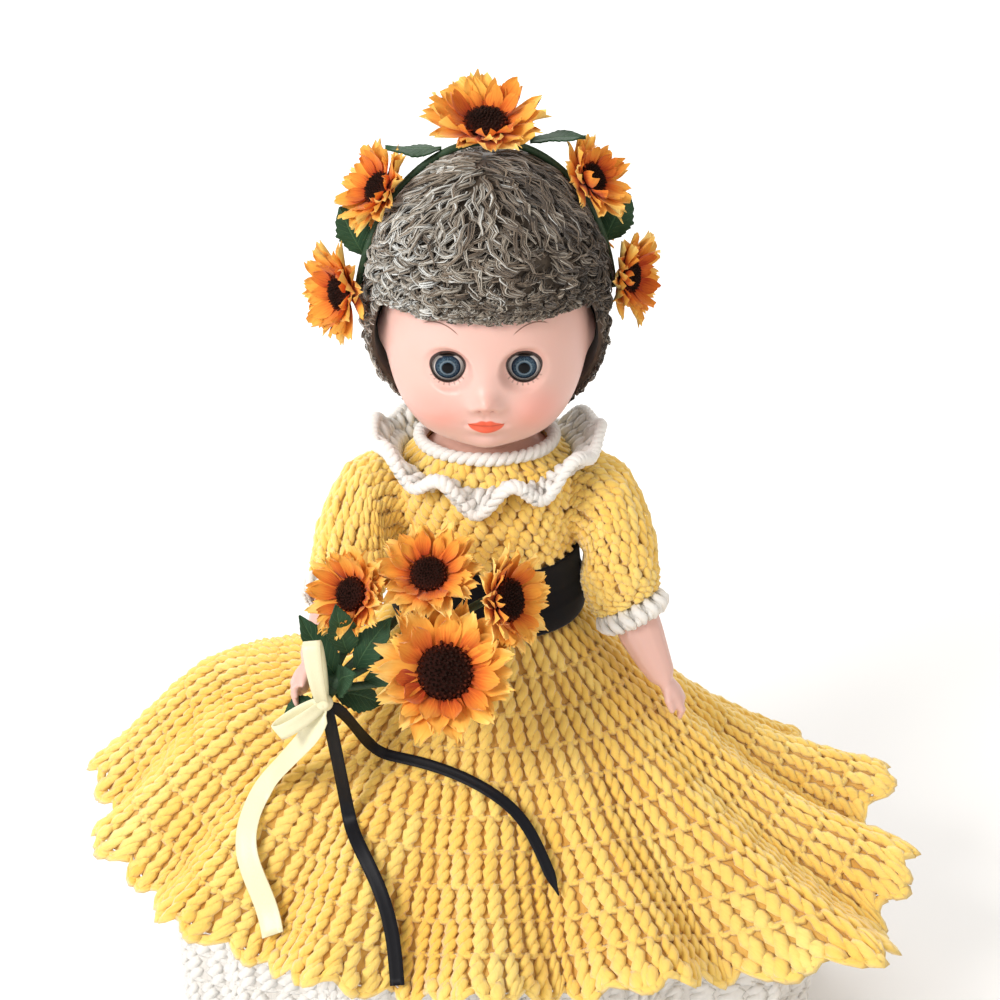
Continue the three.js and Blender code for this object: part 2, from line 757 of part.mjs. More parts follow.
const petticoatRing = (row, lift) =>
  steps(skirtColumns, (j) => petticoatPoint((fullTurn * j) / skirtColumns, row, lift));
const petticoatRows = [...petticoatSlopeShares, ...petticoatFallShares].map((_, i) => i);
const petticoatTop = waistHeight - crochetThick - clothGap;
const petticoatRings = [
  levelRing(petticoatTopX + petticoatThick, petticoatTopY + petticoatThick, petticoatTop, skirtColumns),
  ...petticoatRows.map((row) => petticoatRing(row, petticoatThick / 2)),
  ...petticoatRows.toReversed().map((row) => petticoatRing(row, -petticoatThick / 2)),
  levelRing(petticoatTopX, petticoatTopY, petticoatTop - petticoatThick, skirtColumns),
];
place(doll, "petticoat", loft(petticoatRings, true), yarnWhite);

// Sash bow: a knot, two loops and two tails in one tied ribbon
const bowKnotRadius = 7;
const bowLoopLength = 34;
const bowLoopHeight = 9;
const bowBackShare = 0.2;
const bowUpShare = 0.12;
const sashRibbonWidth = 20;
const sashRibbonThick = 1.2;
const knotSquashShare = 0.7;
const sashTailRise = 4;
const sashTailLift = sashTailRise + clothGap;
const tailLeanShare = 1.4;
const tailRiseShare = 0.57;
const sashBowHeight = (sashBottom + sashTop) / 2;
const sashBack = sashRing(sashBowHeight, sashThick)[bodySides / 4].y;
const knotCentre = point(0, sashBack + seatGap + bowKnotRadius * knotSquashShare, sashBowHeight);

// An oval loop of ribbon that starts and ends at a knot.
function ribbonLoop(start, direction, up, length, height, width, thickness, count) {
  const side = point(0, 0, 0).crossVectors(direction, up).normalize();
  const points = steps(count, (i) => {
    const a = (fullTurn * i) / count;
    return start
      .clone()
      .addScaledVector(direction, (length / 2) * (1 - Math.cos(a)))
      .addScaledVector(up, (height / 2) * Math.sin(a));
  });
  return ribbon(points, points.map(() => side), width, thickness, true);
}

const knot = (centre, radius, squash) =>
  new THREE.SphereGeometry(radius, 8, 6).scale(1, squash, 1).translate(centre.x, centre.y, centre.z);

const sashTailShares = [
  [82, 0.1],
  [70, 0.2],
  [56, 0.3],
  [44, 0.38],
  [33, 0.44],
];

function sashTail(side) {
  const laid = sashTailShares.map(([turn, share]) => {
    const around = side > 0 ? turn : halfTurnDegrees - turn;
    return skirtPoint(around * degrees, share, skirtThick / 2 + sashTailLift);
  });
  const path = [knotCentre.clone(), ...laid];
  const across = path.map((p, i) => {
    const after = path[Math.min(i + 1, path.length - 1)];
    const before = path[Math.max(i - 1, 0)];
    const out = point(p.x, p.y * tailLeanShare, hemRadiusY * tailRiseShare).normalize();
    return point(0, 0, 0).crossVectors(after.clone().sub(before), out).normalize();
  });
  return ribbon(path, across, sashRibbonWidth / 2, sashRibbonThick);
}

const sashLoops = [1, -1].map((side) =>
  ribbonLoop(
    knotCentre,
    point(side, bowBackShare, bowUpShare).normalize(),
    point(0, 1, 0),
    bowLoopLength,
    bowLoopHeight,
    sashRibbonWidth,
    sashRibbonThick,
    9,
  ),
);
const sashKnot = knot(knotCentre, bowKnotRadius, knotSquashShare);
const sashBow = join([sashKnot, ...sashLoops, sashTail(1), sashTail(-1)]);
place(doll, "sash_bow", sashBow, satinBlack);

// Two pearl buttons close the bodice at the back
const buttonRadius = 4;
const buttonThick = 2;
const buttonTaperShare = 0.85;
const buttonShares = [0.6, 0.8];
const buttonHeights = buttonShares.map((share) => waistHeight + share * bodiceHeight);
["lower", "upper"].forEach((name, i) => {
  const button = new THREE.CylinderGeometry(buttonRadius, buttonRadius * buttonTaperShare, buttonThick, 16);
  const mesh = place(doll, `back_button_${name}`, button, pearl);
  const edges = [-buttonRadius, buttonRadius].map((r) => bodiceRadii(buttonHeights[i] + r)[1]);
  const depth = Math.max(...edges);
  mesh.position.set(0, depth + seatGap + buttonThick / 2, buttonHeights[i]);
});

// Head: a hollow vinyl shell with modelled face, eye sockets and a neck hole
const headFront = 44;
const headBack = 48;
const headUp = 63;
const headMiddle = headBase + headDown;
const jawPowerShare = 0.8;
const faceDepthShare = 0.4;
const poleShare = 0.985;
const headColumns = 30;
const headRows = 16;
const socketShare = 0.06;
// Each feature: across and up from the head's middle, outward bulge, half spreads across and up,
// as shares of headHalfWidth and headDown.
const faceShares = [
  { across: 0, up: -0.4, out: 0.185, wide: 0.1, tall: 0.11 },
  { across: 0, up: -0.24, out: 0.075, wide: 0.1, tall: 0.17 },
  { across: 0, up: -0.625, out: 0.06, wide: 0.18, tall: 0.075 },
  { across: 0, up: -0.84, out: 0.1, wide: 0.2, tall: 0.11 },
  { across: 0.46, up: -0.5, out: 0.06, wide: 0.24, tall: 0.2 },
  { across: -0.46, up: -0.5, out: 0.06, wide: 0.24, tall: 0.2 },
  { across: 0.357, up: -0.1, out: -socketShare, wide: 0.17, tall: 0.13 },
  { across: -0.357, up: -0.1, out: -socketShare, wide: 0.17, tall: 0.13 },
];
const earShares = { back: 0.05, up: -0.1, out: 0.1, deep: 0.14, tall: 0.16 };

// A point on the head, grown outward; around is 0 at the face and grows to the doll's left.
function headPoint(around, rise, grow) {
  const s = Math.sin(rise);
  const forward = Math.cos(around);
  const power = s < 0 ? 2 + jawPowerShare * Math.max(0, forward) : 2;
  const girth = (1 - Math.abs(s) ** power) ** (1 / power);
  const depth = (forward > 0 ? headFront : headBack) + grow;
  const tall = (s > 0 ? headUp : headDown) + grow;
  const x = (headHalfWidth + grow) * Math.sin(around) * Math.cos(rise);
  return point(x, -depth * forward * girth, headMiddle + tall * s);
}

function facePoint(around, rise) {
  const p = headPoint(around, rise, 0);
  const x = p.x / headHalfWidth;
  const z = (p.z - headMiddle) / headDown;
  if (p.y < 0) {
    for (const f of faceShares) {
      const bump = Math.exp(-(((x - f.across) / f.wide) ** 2) - ((z - f.up) / f.tall) ** 2);
      p.y -= f.out * headHalfWidth * bump * Math.min(1, -p.y / (headFront * faceDepthShare));
    }
  }
  const back = (p.y / headHalfWidth - earShares.back) / earShares.deep;
  const ear = Math.exp(-(back ** 2) - ((z - earShares.up) / earShares.tall) ** 2);
  p.x += Math.sign(p.x) * earShares.out * headHalfWidth * ear * smooth(0.5, 0.9, Math.abs(x));
  return p;
}

// Columns lie closer together across the face than at the back.
const crowdShare = 0.5;
const columnTurn = (j, count) => {
  const t = (2 * j) / count - 1;
  return Math.PI * (crowdShare * t + (1 - crowdShare) * t * Math.abs(t));
};
const riseOf = (i, count) => mix(-poleShare, poleShare, i / (count - 1)) * (Math.PI / 2);
const headRings = steps(headRows, (i) =>
  steps(headColumns, (j) => facePoint(columnTurn(j, headColumns), riseOf(i, headRows))),
);
const hollowRings = steps(9, (i) =>
  steps(16, (j) => headPoint((fullTurn * j) / 16, riseOf(i, 9), -headWall)),
);

// Sleep eyes: each ball swings on pins in its own case, closed by a lead weight
const eyeRadius = 9;
const eyeApart = 30;
const eyeUpShare = -0.1;
const eyeRecess = 1;
const eyeCaseWall = 1.4;
const eyeHalfWidth = 6.4;
const eyeHalfHeight = 6.1;
const eyePinRadius = 1;
const eyeSides = 12;
const lashReach = 0.35;
const lashLiftDegrees = 31;
const lashHalfSpreadDegrees = 33;
const lashGap = 0.1;
const lashRootDegrees = 1.2;
const lashTipDegrees = 1.6;
const bossWall = 2;
const stalkRadius = 0.9;
const pinReachShare = 0.7;
const weightRadius = 3;
const weightLength = 7;
const weightDistance = 17.5;
const weightDropDegrees = 39;
const eyeHeight = headMiddle + eyeUpShare * headDown;
const eyeX = eyeApart / 2;
const faceDepth = headFront * Math.sqrt(1 - (eyeX / headHalfWidth) ** 2) - socketShare * headHalfWidth;
const eyeY = -(faceDepth - eyeRecess - eyeRadius);
const caseInner = eyeRadius + runGap;
const caseOuter = caseInner + eyeCaseWall;
const caseFrontDegrees = 50;
const caseRearDegrees = 104;

// A turned solid whose axis is Y, from polar angles off that axis and radii, pointing at -Y.
const polarPoints = (profile) =>
  profile.map(([polar, r]) =>
    new THREE.Vector2(r * Math.sin(polar * degrees), r * Math.cos(polar * degrees)),
  );
const arc = (from, to, radius, count) =>
  steps(count, (i) => [mix(from, to, i / (count - 1)), radius]);
const pocketInsetDegrees = 3;
const pocketStartDegrees = 12;
const pocketEdgeDegrees = caseRearDegrees + pocketInsetDegrees;
const pocketLipDegrees = caseFrontDegrees - pocketInsetDegrees;
const pocketWall = caseOuter + seatGap;
const pocketLip = caseInner / Math.cos(Math.PI / eyeSides);
const pocketPoints = polarPoints([
  [0, pocketLip],
  ...arc(pocketStartDegrees, pocketLipDegrees, pocketLip, 3),
  ...arc(pocketLipDegrees, pocketEdgeDegrees, pocketWall, 4),
]);
const pocketRear = pocketWall * Math.sin(pocketEdgeDegrees * degrees);
pocketPoints.push(new THREE.Vector2(pocketRear, -headFront / 2));
pocketPoints.push(new THREE.Vector2(0, -headFront / 2));
const eyePocket = turned(pocketPoints, eyeSides).rotateX(Math.PI);

const caseSection = [
  ...arc(caseFrontDegrees, caseRearDegrees, caseOuter, 4),
  ...arc(caseRearDegrees, caseFrontDegrees, caseInner, 4),
];
const caseRing = turned(polarPoints([...caseSection, caseSection[0]]), eyeSides).rotateX(Math.PI);
const pinBore = crossPin(-overrun, overrun, eyePinRadius + seatGap, 0, 0, 8);
const eyeCase = cut(caseRing, pinBore);
const pinHalf = caseInner + eyeCaseWall * pinReachShare;
const eyeBall = join([
  new THREE.SphereGeometry(eyeRadius, eyeSides, 8),
  crossPin(-pinHalf, pinHalf, eyePinRadius, 0, 0, 8),
]);

// Lashes: a thin curved strip just proud of the ball, along the lid's edge.
const lashRings = steps(7, (i) => {
  const a = mix(-lashHalfSpreadDegrees, lashHalfSpreadDegrees, i / 6) * degrees;
  return [
    [eyeRadius + lashGap, -lashRootDegrees],
    [eyeRadius + lashGap, lashRootDegrees],
    [eyeRadius + lashReach, lashTipDegrees],
    [eyeRadius + lashReach, -lashTipDegrees],
  ].map(([r, lean]) => {
    const lift = (lashLiftDegrees + lean) * degrees;
    const flat = r * Math.cos(lift);
    return point(flat * Math.sin(a), -flat * Math.cos(a), r * Math.sin(lift));
  });
});
const lashStrip = loft(lashRings);
const weightAngle = weightDropDegrees * degrees;
const weightAt = (distance) =>
  point(0, distance * Math.cos(weightAngle), -distance * Math.sin(weightAngle));
const eyeWeight = join([
  rod([weightAt(eyeRadius + seatGap), weightAt(weightDistance)], [stalkRadius, stalkRadius], 6),
  crossPin(
    -weightLength / 2,
    weightLength / 2,
    weightRadius,
    weightAt(weightDistance).y,
    weightAt(weightDistance).z,
    10,
  ),
]);

const head = new THREE.Group();
doll.add(head);
const outerHead = solidOf(loft(headRings));
let headSolid = outerHead.subtract(solidOf(loft(hollowRings)));
for (const side of [1, -1]) {
  const at = [side * eyeX, eyeY, eyeHeight];
  const boss = solidOf(new THREE.SphereGeometry(pocketWall + bossWall, 10, 6).translate(...at));
  headSolid = headSolid.add(boss.intersect(outerHead));
}
for (const side of [1, -1]) {
  const at = [side * eyeX, eyeY, eyeHeight];
  const opening = new THREE.CylinderGeometry(1, 1, overrun, 20)
    .scale(eyeHalfWidth, 1, eyeHalfHeight)
    .translate(side * eyeX, eyeY - overrun / 2, eyeHeight);
  headSolid = headSolid.subtract(solidOf(eyePocket.clone().translate(...at)));
  headSolid = headSolid.subtract(solidOf(opening));
}
const neckBore = new THREE.CylinderGeometry(neckHole, neckHole, overrun, 24).rotateX(Math.PI / 2);
headSolid = headSolid.subtract(solidOf(neckBore.translate(0, 0, headBase)));
place(head, "head", geometryOf(headSolid), skin);

for (const [name, side] of [["left", 1], ["right", -1]]) {
  const eye = new THREE.Group();
  eye.position.set(side * eyeX, eyeY, eyeHeight);
  head.add(eye);
  place(eye, `${name}_eye_case`, eyeCase, caseIvory);
  place(eye, `${name}_eyeball`, eyeBall, eyeWhite);
  place(eye, `${name}_lashes`, lashStrip, lashBlack);
  place(eye, `${name}_eye_weight`, eyeWeight, lead);
}

// Hair: a rooted cap with a high front hairline, longer behind the ears
const hairThick = 9;
const hairEdgeThick = 2;
const hairTopDegrees = 88;
const hairThinShare = 0.6;
const hairFrontDegrees = 15;
const hairBackDegrees = -60;
const hairTurnFromDegrees = 62;
const hairTurnToDegrees = 116;
const hairClear = 1.8;
const hairSideClear = 4.4;
const hairShares = [0, 0.15, 0.32, 0.5, 0.68, 0.84, 1];
const hairColumns = 26;

function hairRise(around, t) {
  const back = smooth(hairTurnFromDegrees, hairTurnToDegrees, Math.abs(around) / degrees);
  const line = mix(hairFrontDegrees, hairBackDegrees, back);
  return mix(hairTopDegrees, line, t) * degrees;
}

const hairClearance = (around) => hairClear + hairSideClear * Math.sin(around) ** 2;

function hairPoint(around, t) {
  const edge = hairClearance(around) + hairEdgeThick;
  const grow = mix(hairThick, edge, smooth(hairThinShare, 1, t));
  return headPoint(around, hairRise(around, t), grow);
}

const hairOuter = hairShares.map((t) =>
  steps(hairColumns, (j) => hairPoint(columnTurn(j, hairColumns), t)),
);
const hairInner = hairShares.toReversed().map((t) =>
  steps(hairColumns, (j) => {
    const around = columnTurn(j, hairColumns);
    return headPoint(around, hairRise(around, t), hairClearance(around));
  }),
);
place(head, "hair", loft([...hairOuter, ...hairInner]), hairGrey);

// Flower crown: a wire band over the hair that carries cloth sunflowers and leaves
const bandWire = 1.5;
const crownBandY = 3;
const bandSkewShare = 0.17;
const bandLowDegrees = 8;
const bandAxisX = headHalfWidth + hairThick + seatGap + bandWire;
const bandAxisZ = headUp + hairThick + seatGap + bandWire;
const crownBandPoint = (angle, out) => {
  const a = angle * degrees;
  const normal = point(Math.cos(a) / bandAxisX, 0, Math.sin(a) / bandAxisZ).normalize();
  const x = bandAxisX * Math.cos(a);
  const on = point(x, crownBandY + bandSkewShare * x, headMiddle + bandAxisZ * Math.sin(a));
  return { on: on.addScaledVector(normal, out), normal };
};
const bandSteps = 16;
const bandHighDegrees = halfTurnDegrees - bandLowDegrees;
const bandPath = steps(bandSteps + 1, (i) => {
  const angle = mix(bandLowDegrees, bandHighDegrees, i / bandSteps);
  return crownBandPoint(angle, 0).on;
});
place(head, "headband", rod(bandPath, bandPath.map(() => bandWire), 6), wire);

// A cloth sunflower along +Z: cupped petals with a hole, and a domed centre on a stud
const petalThick = 0.9;
const studRadius = 3;
const studLength = 1.6;
const discSides = 8;
const petalValleyShare = 0.72;
const discShoulderShares = [0.9, 0.6];
const discTopShare = 0.5;

function petalGeometry(radius, cup, petals) {
  const hole = studRadius + seatGap;
  const outer = steps(petals * 2, (j) => {
    const a = (fullTurn * j) / (petals * 2);
    const r = radius * (j % 2 ? petalValleyShare : 1);
    return point(r * Math.cos(a), r * Math.sin(a), (cup * (r - hole)) / (radius - hole));
  });
  const inner = levelRing(hole, hole, 0, petals * 2);
  const raised = (ring) => ring.map((p) => p.clone().setZ(p.z + petalThick));
  return loft([raised(inner), raised(outer), outer, inner], true);
}

function discGeometry(radius, cup, discRadius, rise) {
  const slope = cup / (radius - studRadius - seatGap);
  const foot = petalThick + seatGap;
  const rim = foot + slope * discRadius;
  const outline = [
    [0, -studLength],
    [studRadius, -studLength],
    [studRadius, foot],
    [discRadius, rim],
    [discRadius * discShoulderShares[0], rim + rise * discShoulderShares[1]],
    [discRadius * discTopShare, rim + rise],
    [0, rim + rise],
  ].map(([r, z]) => new THREE.Vector2(r, z));
  return turned(outline, discSides).rotateX(Math.PI / 2);
}

function addFlower(parent, name, seat, axis, sizes, spin) {
  const { radius, cup, petals, disc, rise } = sizes;
  const flower = new THREE.Group();
  flower.position.copy(seat);
  flower.quaternion.setFromUnitVectors(point(0, 0, 1), axis.clone().normalize());
  flower.rotateZ(spin);
  parent.add(flower);
  place(flower, `${name}_petals`, petalGeometry(radius, cup, petals), petalOrange);
  place(flower, `${name}_centre`, discGeometry(radius, cup, disc, rise), discBrown);
}

const crownRadius = 23.6;
const crownCupShare = 0.3;
const crownPetals = 8;
const crownDiscShare = 0.38;
const crownRiseShare = 0.13;
const crownSizes = (share) => ({
  radius: share * crownRadius,
  cup: crownCupShare * share * crownRadius,
  petals: crownPetals,
  disc: crownDiscShare * share * crownRadius,
  rise: crownRiseShare * share * crownRadius,
});
const studSeat = bandWire + seatGap + studLength;
// Each flower on the band: its angle in degrees, then its size and its tilt toward -Y as shares.
const crownFlowerShares = [
  [90, 1, 0.42],
  [134, 0.78, 0.5],
  [169, 0.84, 0.75],
  [46, 0.78, 0.5],
  [11, 0.8, 0.6],
];
crownFlowerShares.forEach(([angle, size, tilt], i) => {
  const { on, normal } = crownBandPoint(angle, studSeat + bandWire / 2);
  const axis = normal.clone().addScaledVector(point(0, -1, 0), tilt);
  addFlower(head, `crown_flower_${i + 1}`, on, axis, crownSizes(size), i);
});

// Two more sunflowers sit on the hair behind the band, one at each side.
const rearAroundDegrees = 122;
const rearAlongShare = 0.4;
const rearSeat = 0.6;
const rearRadiusShare = 0.72;
const rearTurnShares = [0.5, 0.2, -0.1];
[1, -1].forEach((side, i) => {
  const around = side * rearAroundDegrees * degrees;
  const on = hairPoint(around, rearAlongShare);
  const outward = point(on.x, on.y, on.z - headMiddle).normalize();
  const [out, back, up] = rearTurnShares;
  const axis = outward.clone().add(point(side * out, back, up)).normalize();
  const seat = on.addScaledVector(outward, rearSeat);
  addFlower(head, `crown_flower_${i + 6}`, seat, axis, crownSizes(rearRadiusShare), i);
});

// A pointed leaf along +X, rising from its stalk, with a raised midrib
const leafShares = [
  [0, 0.08],
  [0.2, 0.7],
  [0.5, 1],
  [0.8, 0.55],
  [1, 0.06],
];

const leafArchShare = 0.8;

function leafGeometry(length, width, thick, arch) {
  const rings = leafShares.map(([along, wide]) => {
    const x = along * length;
    const z = arch * Math.sin(along * Math.PI * leafArchShare);
    const half = (wide * width) / 2;
    return [
      point(x, half, z),
      point(x, 0, z + thick / 2),
      point(x, -half, z),
      point(x, 0, z - thick / 2),
    ];
  });
  return loft(rings);
}

const leafThick = 1.2;
const crownLeafArch = 1;
const crownLeafLength = 22;
const crownLeafWidth = 15;
// Each leaf: its angle on the band, which way round the band it points, how far it leans outward
// as a share, and whether its face is turned to -Y instead of away from the head.
const crownLeafShares = [
  [108, 1, 0.52, false],
  [157, -1, 0.9, true],
  [72, -1, 0.52, false],
  [23, 1, 0.9, true],
];
const crownLeafBack = 2.4;
crownLeafShares.forEach(([angle, way, lean, facing], i) => {
  const { on, normal } = crownBandPoint(angle, facing ? 0 : bandWire + seatGap + leafThick / 2);
  const blade = leafGeometry(crownLeafLength, crownLeafWidth, leafThick, crownLeafArch);
  const leaf = place(head, `crown_leaf_${i + 1}`, blade, leafGreen);
  const round = point(0, 0, 0).crossVectors(normal, point(0, 1, 0)).multiplyScalar(way);
  const long = round.addScaledVector(normal, lean).normalize();
  const wide = facing ? point(0, 0, 0).crossVectors(point(0, 1, 0), long) : point(0, 1, 0);
  const face = point(0, 0, 0).crossVectors(long, wide);
  leaf.quaternion.setFromRotationMatrix(new THREE.Matrix4().makeBasis(long, wide, face));
  leaf.position.copy(facing ? on.add(point(0, crownLeafBack, 0)) : on);
});

// Posy: four cloth sunflowers on wired stems, held in the right hand and tied with ribbons
const posy = new THREE.Group();
doll.add(posy);
const rightArm = armGroups.right;
const inPart = (p) => p.clone().applyMatrix4(rightArm.matrixWorld);
const palm = inPart(armPoint(-1, palmShares[1]));
const gripOut = 9.5;
const gripForward = 8.5;
const gripDrop = 1;
const tie = palm.clone().add(point(gripOut, -gripForward, -gripDrop));
const stemRadius = 1.7;
const stemBend = 6;
const bundleRadius = 4.2;
const posyReach = 70;
const posyRadius = 27.5;
const posyCup = 7;
// Each flower: its place from the tie as shares of posyReach, the way it faces, its radius as a
// share of posyRadius, and its centre's radius and rise as shares of its own radius.
const posyFlowerShares = [
  { from: [0.69, -0.06, 0.16], axis: [0.05, -0.8, 0.6], radius: 1, disc: 0.42, rise: 0.13, petals: 12 },
  { from: [1, 0.17, 0.5], axis: [0.8, -0.5, 0.35], radius: 0.73, disc: 0.45, rise: 0.15, petals: 10 },
  { from: [0.6, 0.22, 0.62], axis: [0, -0.6, 0.8], radius: 0.73, disc: 0.375, rise: 0.15, petals: 10 },
  { from: [0.19, 0.19, 0.52], axis: [-0.5, -0.65, 0.55], radius: 0.66, disc: 0.39, rise: 0.17, petals: 10 },
];
const fromTie = (shares, size) => tie.clone().add(point(...shares).multiplyScalar(size));

// The bundle: its lower end, the tie and its upper end, in shares of bundleRadius.
const bundleShares = [
  { from: [-0.95, 0, -2.4], radius: 0.62 },
  { from: [0, 0, 0], radius: 1 },
  { from: [1.9, 0, 1.43], radius: 0.81 },
];
const bundlePath = bundleShares.map(({ from }) => fromTie(from, bundleRadius));
const stems = [rod(bundlePath, bundleShares.map(({ radius }) => radius * bundleRadius), 8)];
posyFlowerShares.forEach(({ from, axis, radius, disc, rise, petals }, i) => {
  const centre = fromTie(from, posyReach);
  const out = point(...axis).normalize();
  const r = radius * posyRadius;
  const sizes = { radius: r, cup: posyCup, petals, disc: disc * r, rise: rise * r };
  addFlower(posy, `posy_flower_${i + 1}`, centre, out, sizes, i);
  const back = centre.clone().addScaledVector(out, -(studLength + seatGap));
  const elbow = back.clone().addScaledVector(out, -stemBend);
  stems.push(rod([tie, elbow, back], [stemRadius, stemRadius, stemRadius], 5));
});

// Leaves on the bundle, with places and sizes as shares of the longest one's length.
const posyLeafLength = 32;
const posyLeafArch = 3;
const posyLeafThick = 1.44;
const leafFace = point(0, -1, 1).normalize();
const posyLeafShares = [
  { from: [0.16, 0.09, 0.125], toward: [-0.45, 0.1, 0.85], length: 1, width: 0.41 },
  { from: [0.16, 0, 0.06], toward: [0.5, -0.5, 0.6], length: 0.62, width: 0.44 },
  { from: [0.09, 0.06, -0.06], toward: [0.75, 0.35, -0.5], length: 0.69, width: 0.41 },
  { from: [-0.09, 0, -0.19], toward: [-0.9, 0.1, -0.5], length: 0.47, width: 0.375 },
];
for (const { from, toward, length, width } of posyLeafShares) {
  const leaf = leafGeometry(length * posyLeafLength, width * posyLeafLength, posyLeafThick, posyLeafArch);
  const x = point(...toward).normalize();
  const y = point(0, 0, 0).crossVectors(leafFace, x).normalize();
  const z = point(0, 0, 0).crossVectors(x, y);
  const seat = fromTie(from, posyLeafLength);
  leaf.applyMatrix4(new THREE.Matrix4().makeBasis(x, y, z).setPosition(seat));
  stems.push(leaf);
}
const handTool = armGeometry(-1, seatGap, false).applyMatrix4(rightArm.matrixWorld);
const stemsShape = join(stems);
place(posy, "posy_stems", mainBody(cut(stemsShape, handTool)), wire);

// Ribbons: a cream bow with one streamer and two black streamers
const ribbonThick = 0.8;
const ribbonLift = 3.6;
const creamWidth = 10;
const blackWidth = 6;
const narrowWidth = 4.8;
const posyKnotRadius = 4;
const posyKnot = tie.clone().add(point(0, -bundleRadius - posyKnotRadius - seatGap, 0));
const creamLoopLength = 30;
const creamLoopHeight = 9;
const creamLoopWidth = 7.2;
const posyKnotSquashShare = 0.8;
const creamLoopShares = [
  { toward: [-0.1, -0.1, 1], size: 1 },
  { toward: [-0.8, -0.15, -0.5], size: 0.75 },
];
const creamParts = creamLoopShares.map(({ toward, size }) => {
  const direction = point(...toward).normalize();
  const lift = point(0, -1, 0).addScaledVector(direction, direction.y).normalize();
  const length = size * creamLoopLength;
  const height = size * creamLoopHeight;
  return ribbonLoop(posyKnot, direction, lift, length, height, creamLoopWidth, ribbonThick, 8);
});
const creamKnot = knot(posyKnot, posyKnotRadius, posyKnotSquashShare);
place(posy, "cream_bow", join([creamKnot, ...creamParts]), satinCream);

// Each streamer falls from the knot and then lies on the skirt at a turn and a share of its slope.
const streamerLeanShare = 0.5;
const streamerRiseShare = 0.64;

function streamer(startShares, laidShares, width) {
  const start = posyKnot.clone().add(point(...startShares).multiplyScalar(posyKnotRadius));
  const line = new THREE.CatmullRomCurve3(laidShares.map(([turn, share]) => point(turn, share, 0)));
  const laid = line.getPoints(laidShares.length * 2).map(({ x: turn, y: share }) =>
    skirtPoint(turn * degrees, share, skirtThick / 2 + ribbonThick / 2 + ribbonLift),
  );
  const path = [start, ...laid];
  const across = path.map((p, i) => {
    const before = path[Math.max(i - 1, 0)];
    const after = path[Math.min(i + 1, path.length - 1)];
    const out = point(p.x * streamerLeanShare, p.y, hemRadiusY * streamerRiseShare);
    return point(0, 0, 0).crossVectors(after.clone().sub(before), out).normalize();
  });
  return ribbon(path, across, width, ribbonThick);
}

// Each starts at a place below the knot, in shares of the knot's radius.
const streamerShares = [
  {
    name: "cream_streamer",
    start: [-1.25, -1.1, -2.9],
    laid: [[222, 0.6], [226, 0.75], [233, 0.86], [239, 0.94]],
    width: creamWidth,
    material: satinCream,
  },
  {
    name: "black_streamer_long",
    start: [0.38, 0, -1.15],
    laid: [[241, 0.55], [249, 0.68], [254, 0.82], [257, 0.99]],
    width: blackWidth,
    material: satinBlack,
  },
  {
    name: "black_streamer_short",
    start: [1.5, 0, -0.65],
    laid: [[240, 0.36], [252, 0.355], [265, 0.385], [276, 0.49], [281, 0.62], [283, 0.73]],
    width: narrowWidth,
    material: satinBlack,
  },
];
for (const { name, start, laid, width, material } of streamerShares) {
  place(posy, name, streamer(start, laid, width), material);
}

// The origin is on the floor at the middle of the skirt, which reaches further forward than back.
const skirtReach = new THREE.Box3().setFromBufferAttribute(skirt.geometry.attributes.position);
doll.position.y = -(skirtReach.min.y + skirtReach.max.y) / 2;

export default doll;
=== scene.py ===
import math

import bpy
import numpy as np
from mathutils import Matrix, Vector


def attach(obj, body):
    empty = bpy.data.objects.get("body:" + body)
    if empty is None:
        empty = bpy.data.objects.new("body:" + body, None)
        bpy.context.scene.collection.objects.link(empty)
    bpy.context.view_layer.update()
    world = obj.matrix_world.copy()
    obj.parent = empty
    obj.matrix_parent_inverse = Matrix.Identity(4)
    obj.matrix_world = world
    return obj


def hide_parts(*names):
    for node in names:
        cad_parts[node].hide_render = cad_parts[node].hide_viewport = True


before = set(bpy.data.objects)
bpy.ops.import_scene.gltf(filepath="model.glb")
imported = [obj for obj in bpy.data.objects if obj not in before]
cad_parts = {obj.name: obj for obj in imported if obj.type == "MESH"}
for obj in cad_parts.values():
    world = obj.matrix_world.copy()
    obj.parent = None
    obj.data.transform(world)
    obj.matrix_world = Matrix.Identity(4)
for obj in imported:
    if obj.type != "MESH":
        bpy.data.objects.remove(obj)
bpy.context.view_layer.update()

# Camera. The photograph looks down on the doll from a little above her head, from about 0.8 m.
# Lengths in this file are millimetres, and are made metres where a mesh or a light is made.
# The doll's own axis stands a little behind the middle of the part, so all places are shifted by it.
mm = 0.001
doll_middle = np.array([0, 25.966, 0])
camera_place = (5.5, -680, 600)
camera_pitch, camera_lens = 27.6, 64.1


def placed(spot):
    """A place in metres, from millimetres off the doll's own axis."""
    return Vector(doll_middle + spot) * mm


def added(name, data):
    thing = bpy.data.objects.new(name, data)
    bpy.context.collection.objects.link(thing)
    return thing


camera = added("camera", bpy.data.cameras.new("camera"))
camera.data.lens, camera.data.sensor_width = camera_lens, 36
camera.location = placed(camera_place)
camera.rotation_euler = (math.radians(90 - camera_pitch), 0, 0)
bpy.context.scene.camera = camera

# The skirt's fabric as a surface, because the streamers and the skirt itself both lie on it. It is a
# bell in folds that deepen to the hem. It swells over the petticoat on the doll's right, sags a little
# on her left, is fullest in front of that side, and falls closer to the legs behind.
waist_height, skirt_top, hem_height = 192.5, 192.2, 96
skirt_waist, skirt_hem = (39.24, 30.6), (176, 141)
skirt_folds, fold_depth, fold_power, fold_gain = 16, 9.5, 2.5, 0.4
drop_power = 0.862
right_lift, left_droop, back_droop, back_short = 30, 8, 25, 0.35
lobe_turn, lobe_reach = math.radians(-40), 0.2


def blend(a, b, t):
    return a + (b - a) * t


def soft_step(low, high, value):
    t = np.clip((value - low) / (high - low), 0, 1)
    return t * t * (3 - 2 * t)


def unit(vectors):
    return vectors / np.linalg.norm(vectors, axis=-1, keepdims=True)


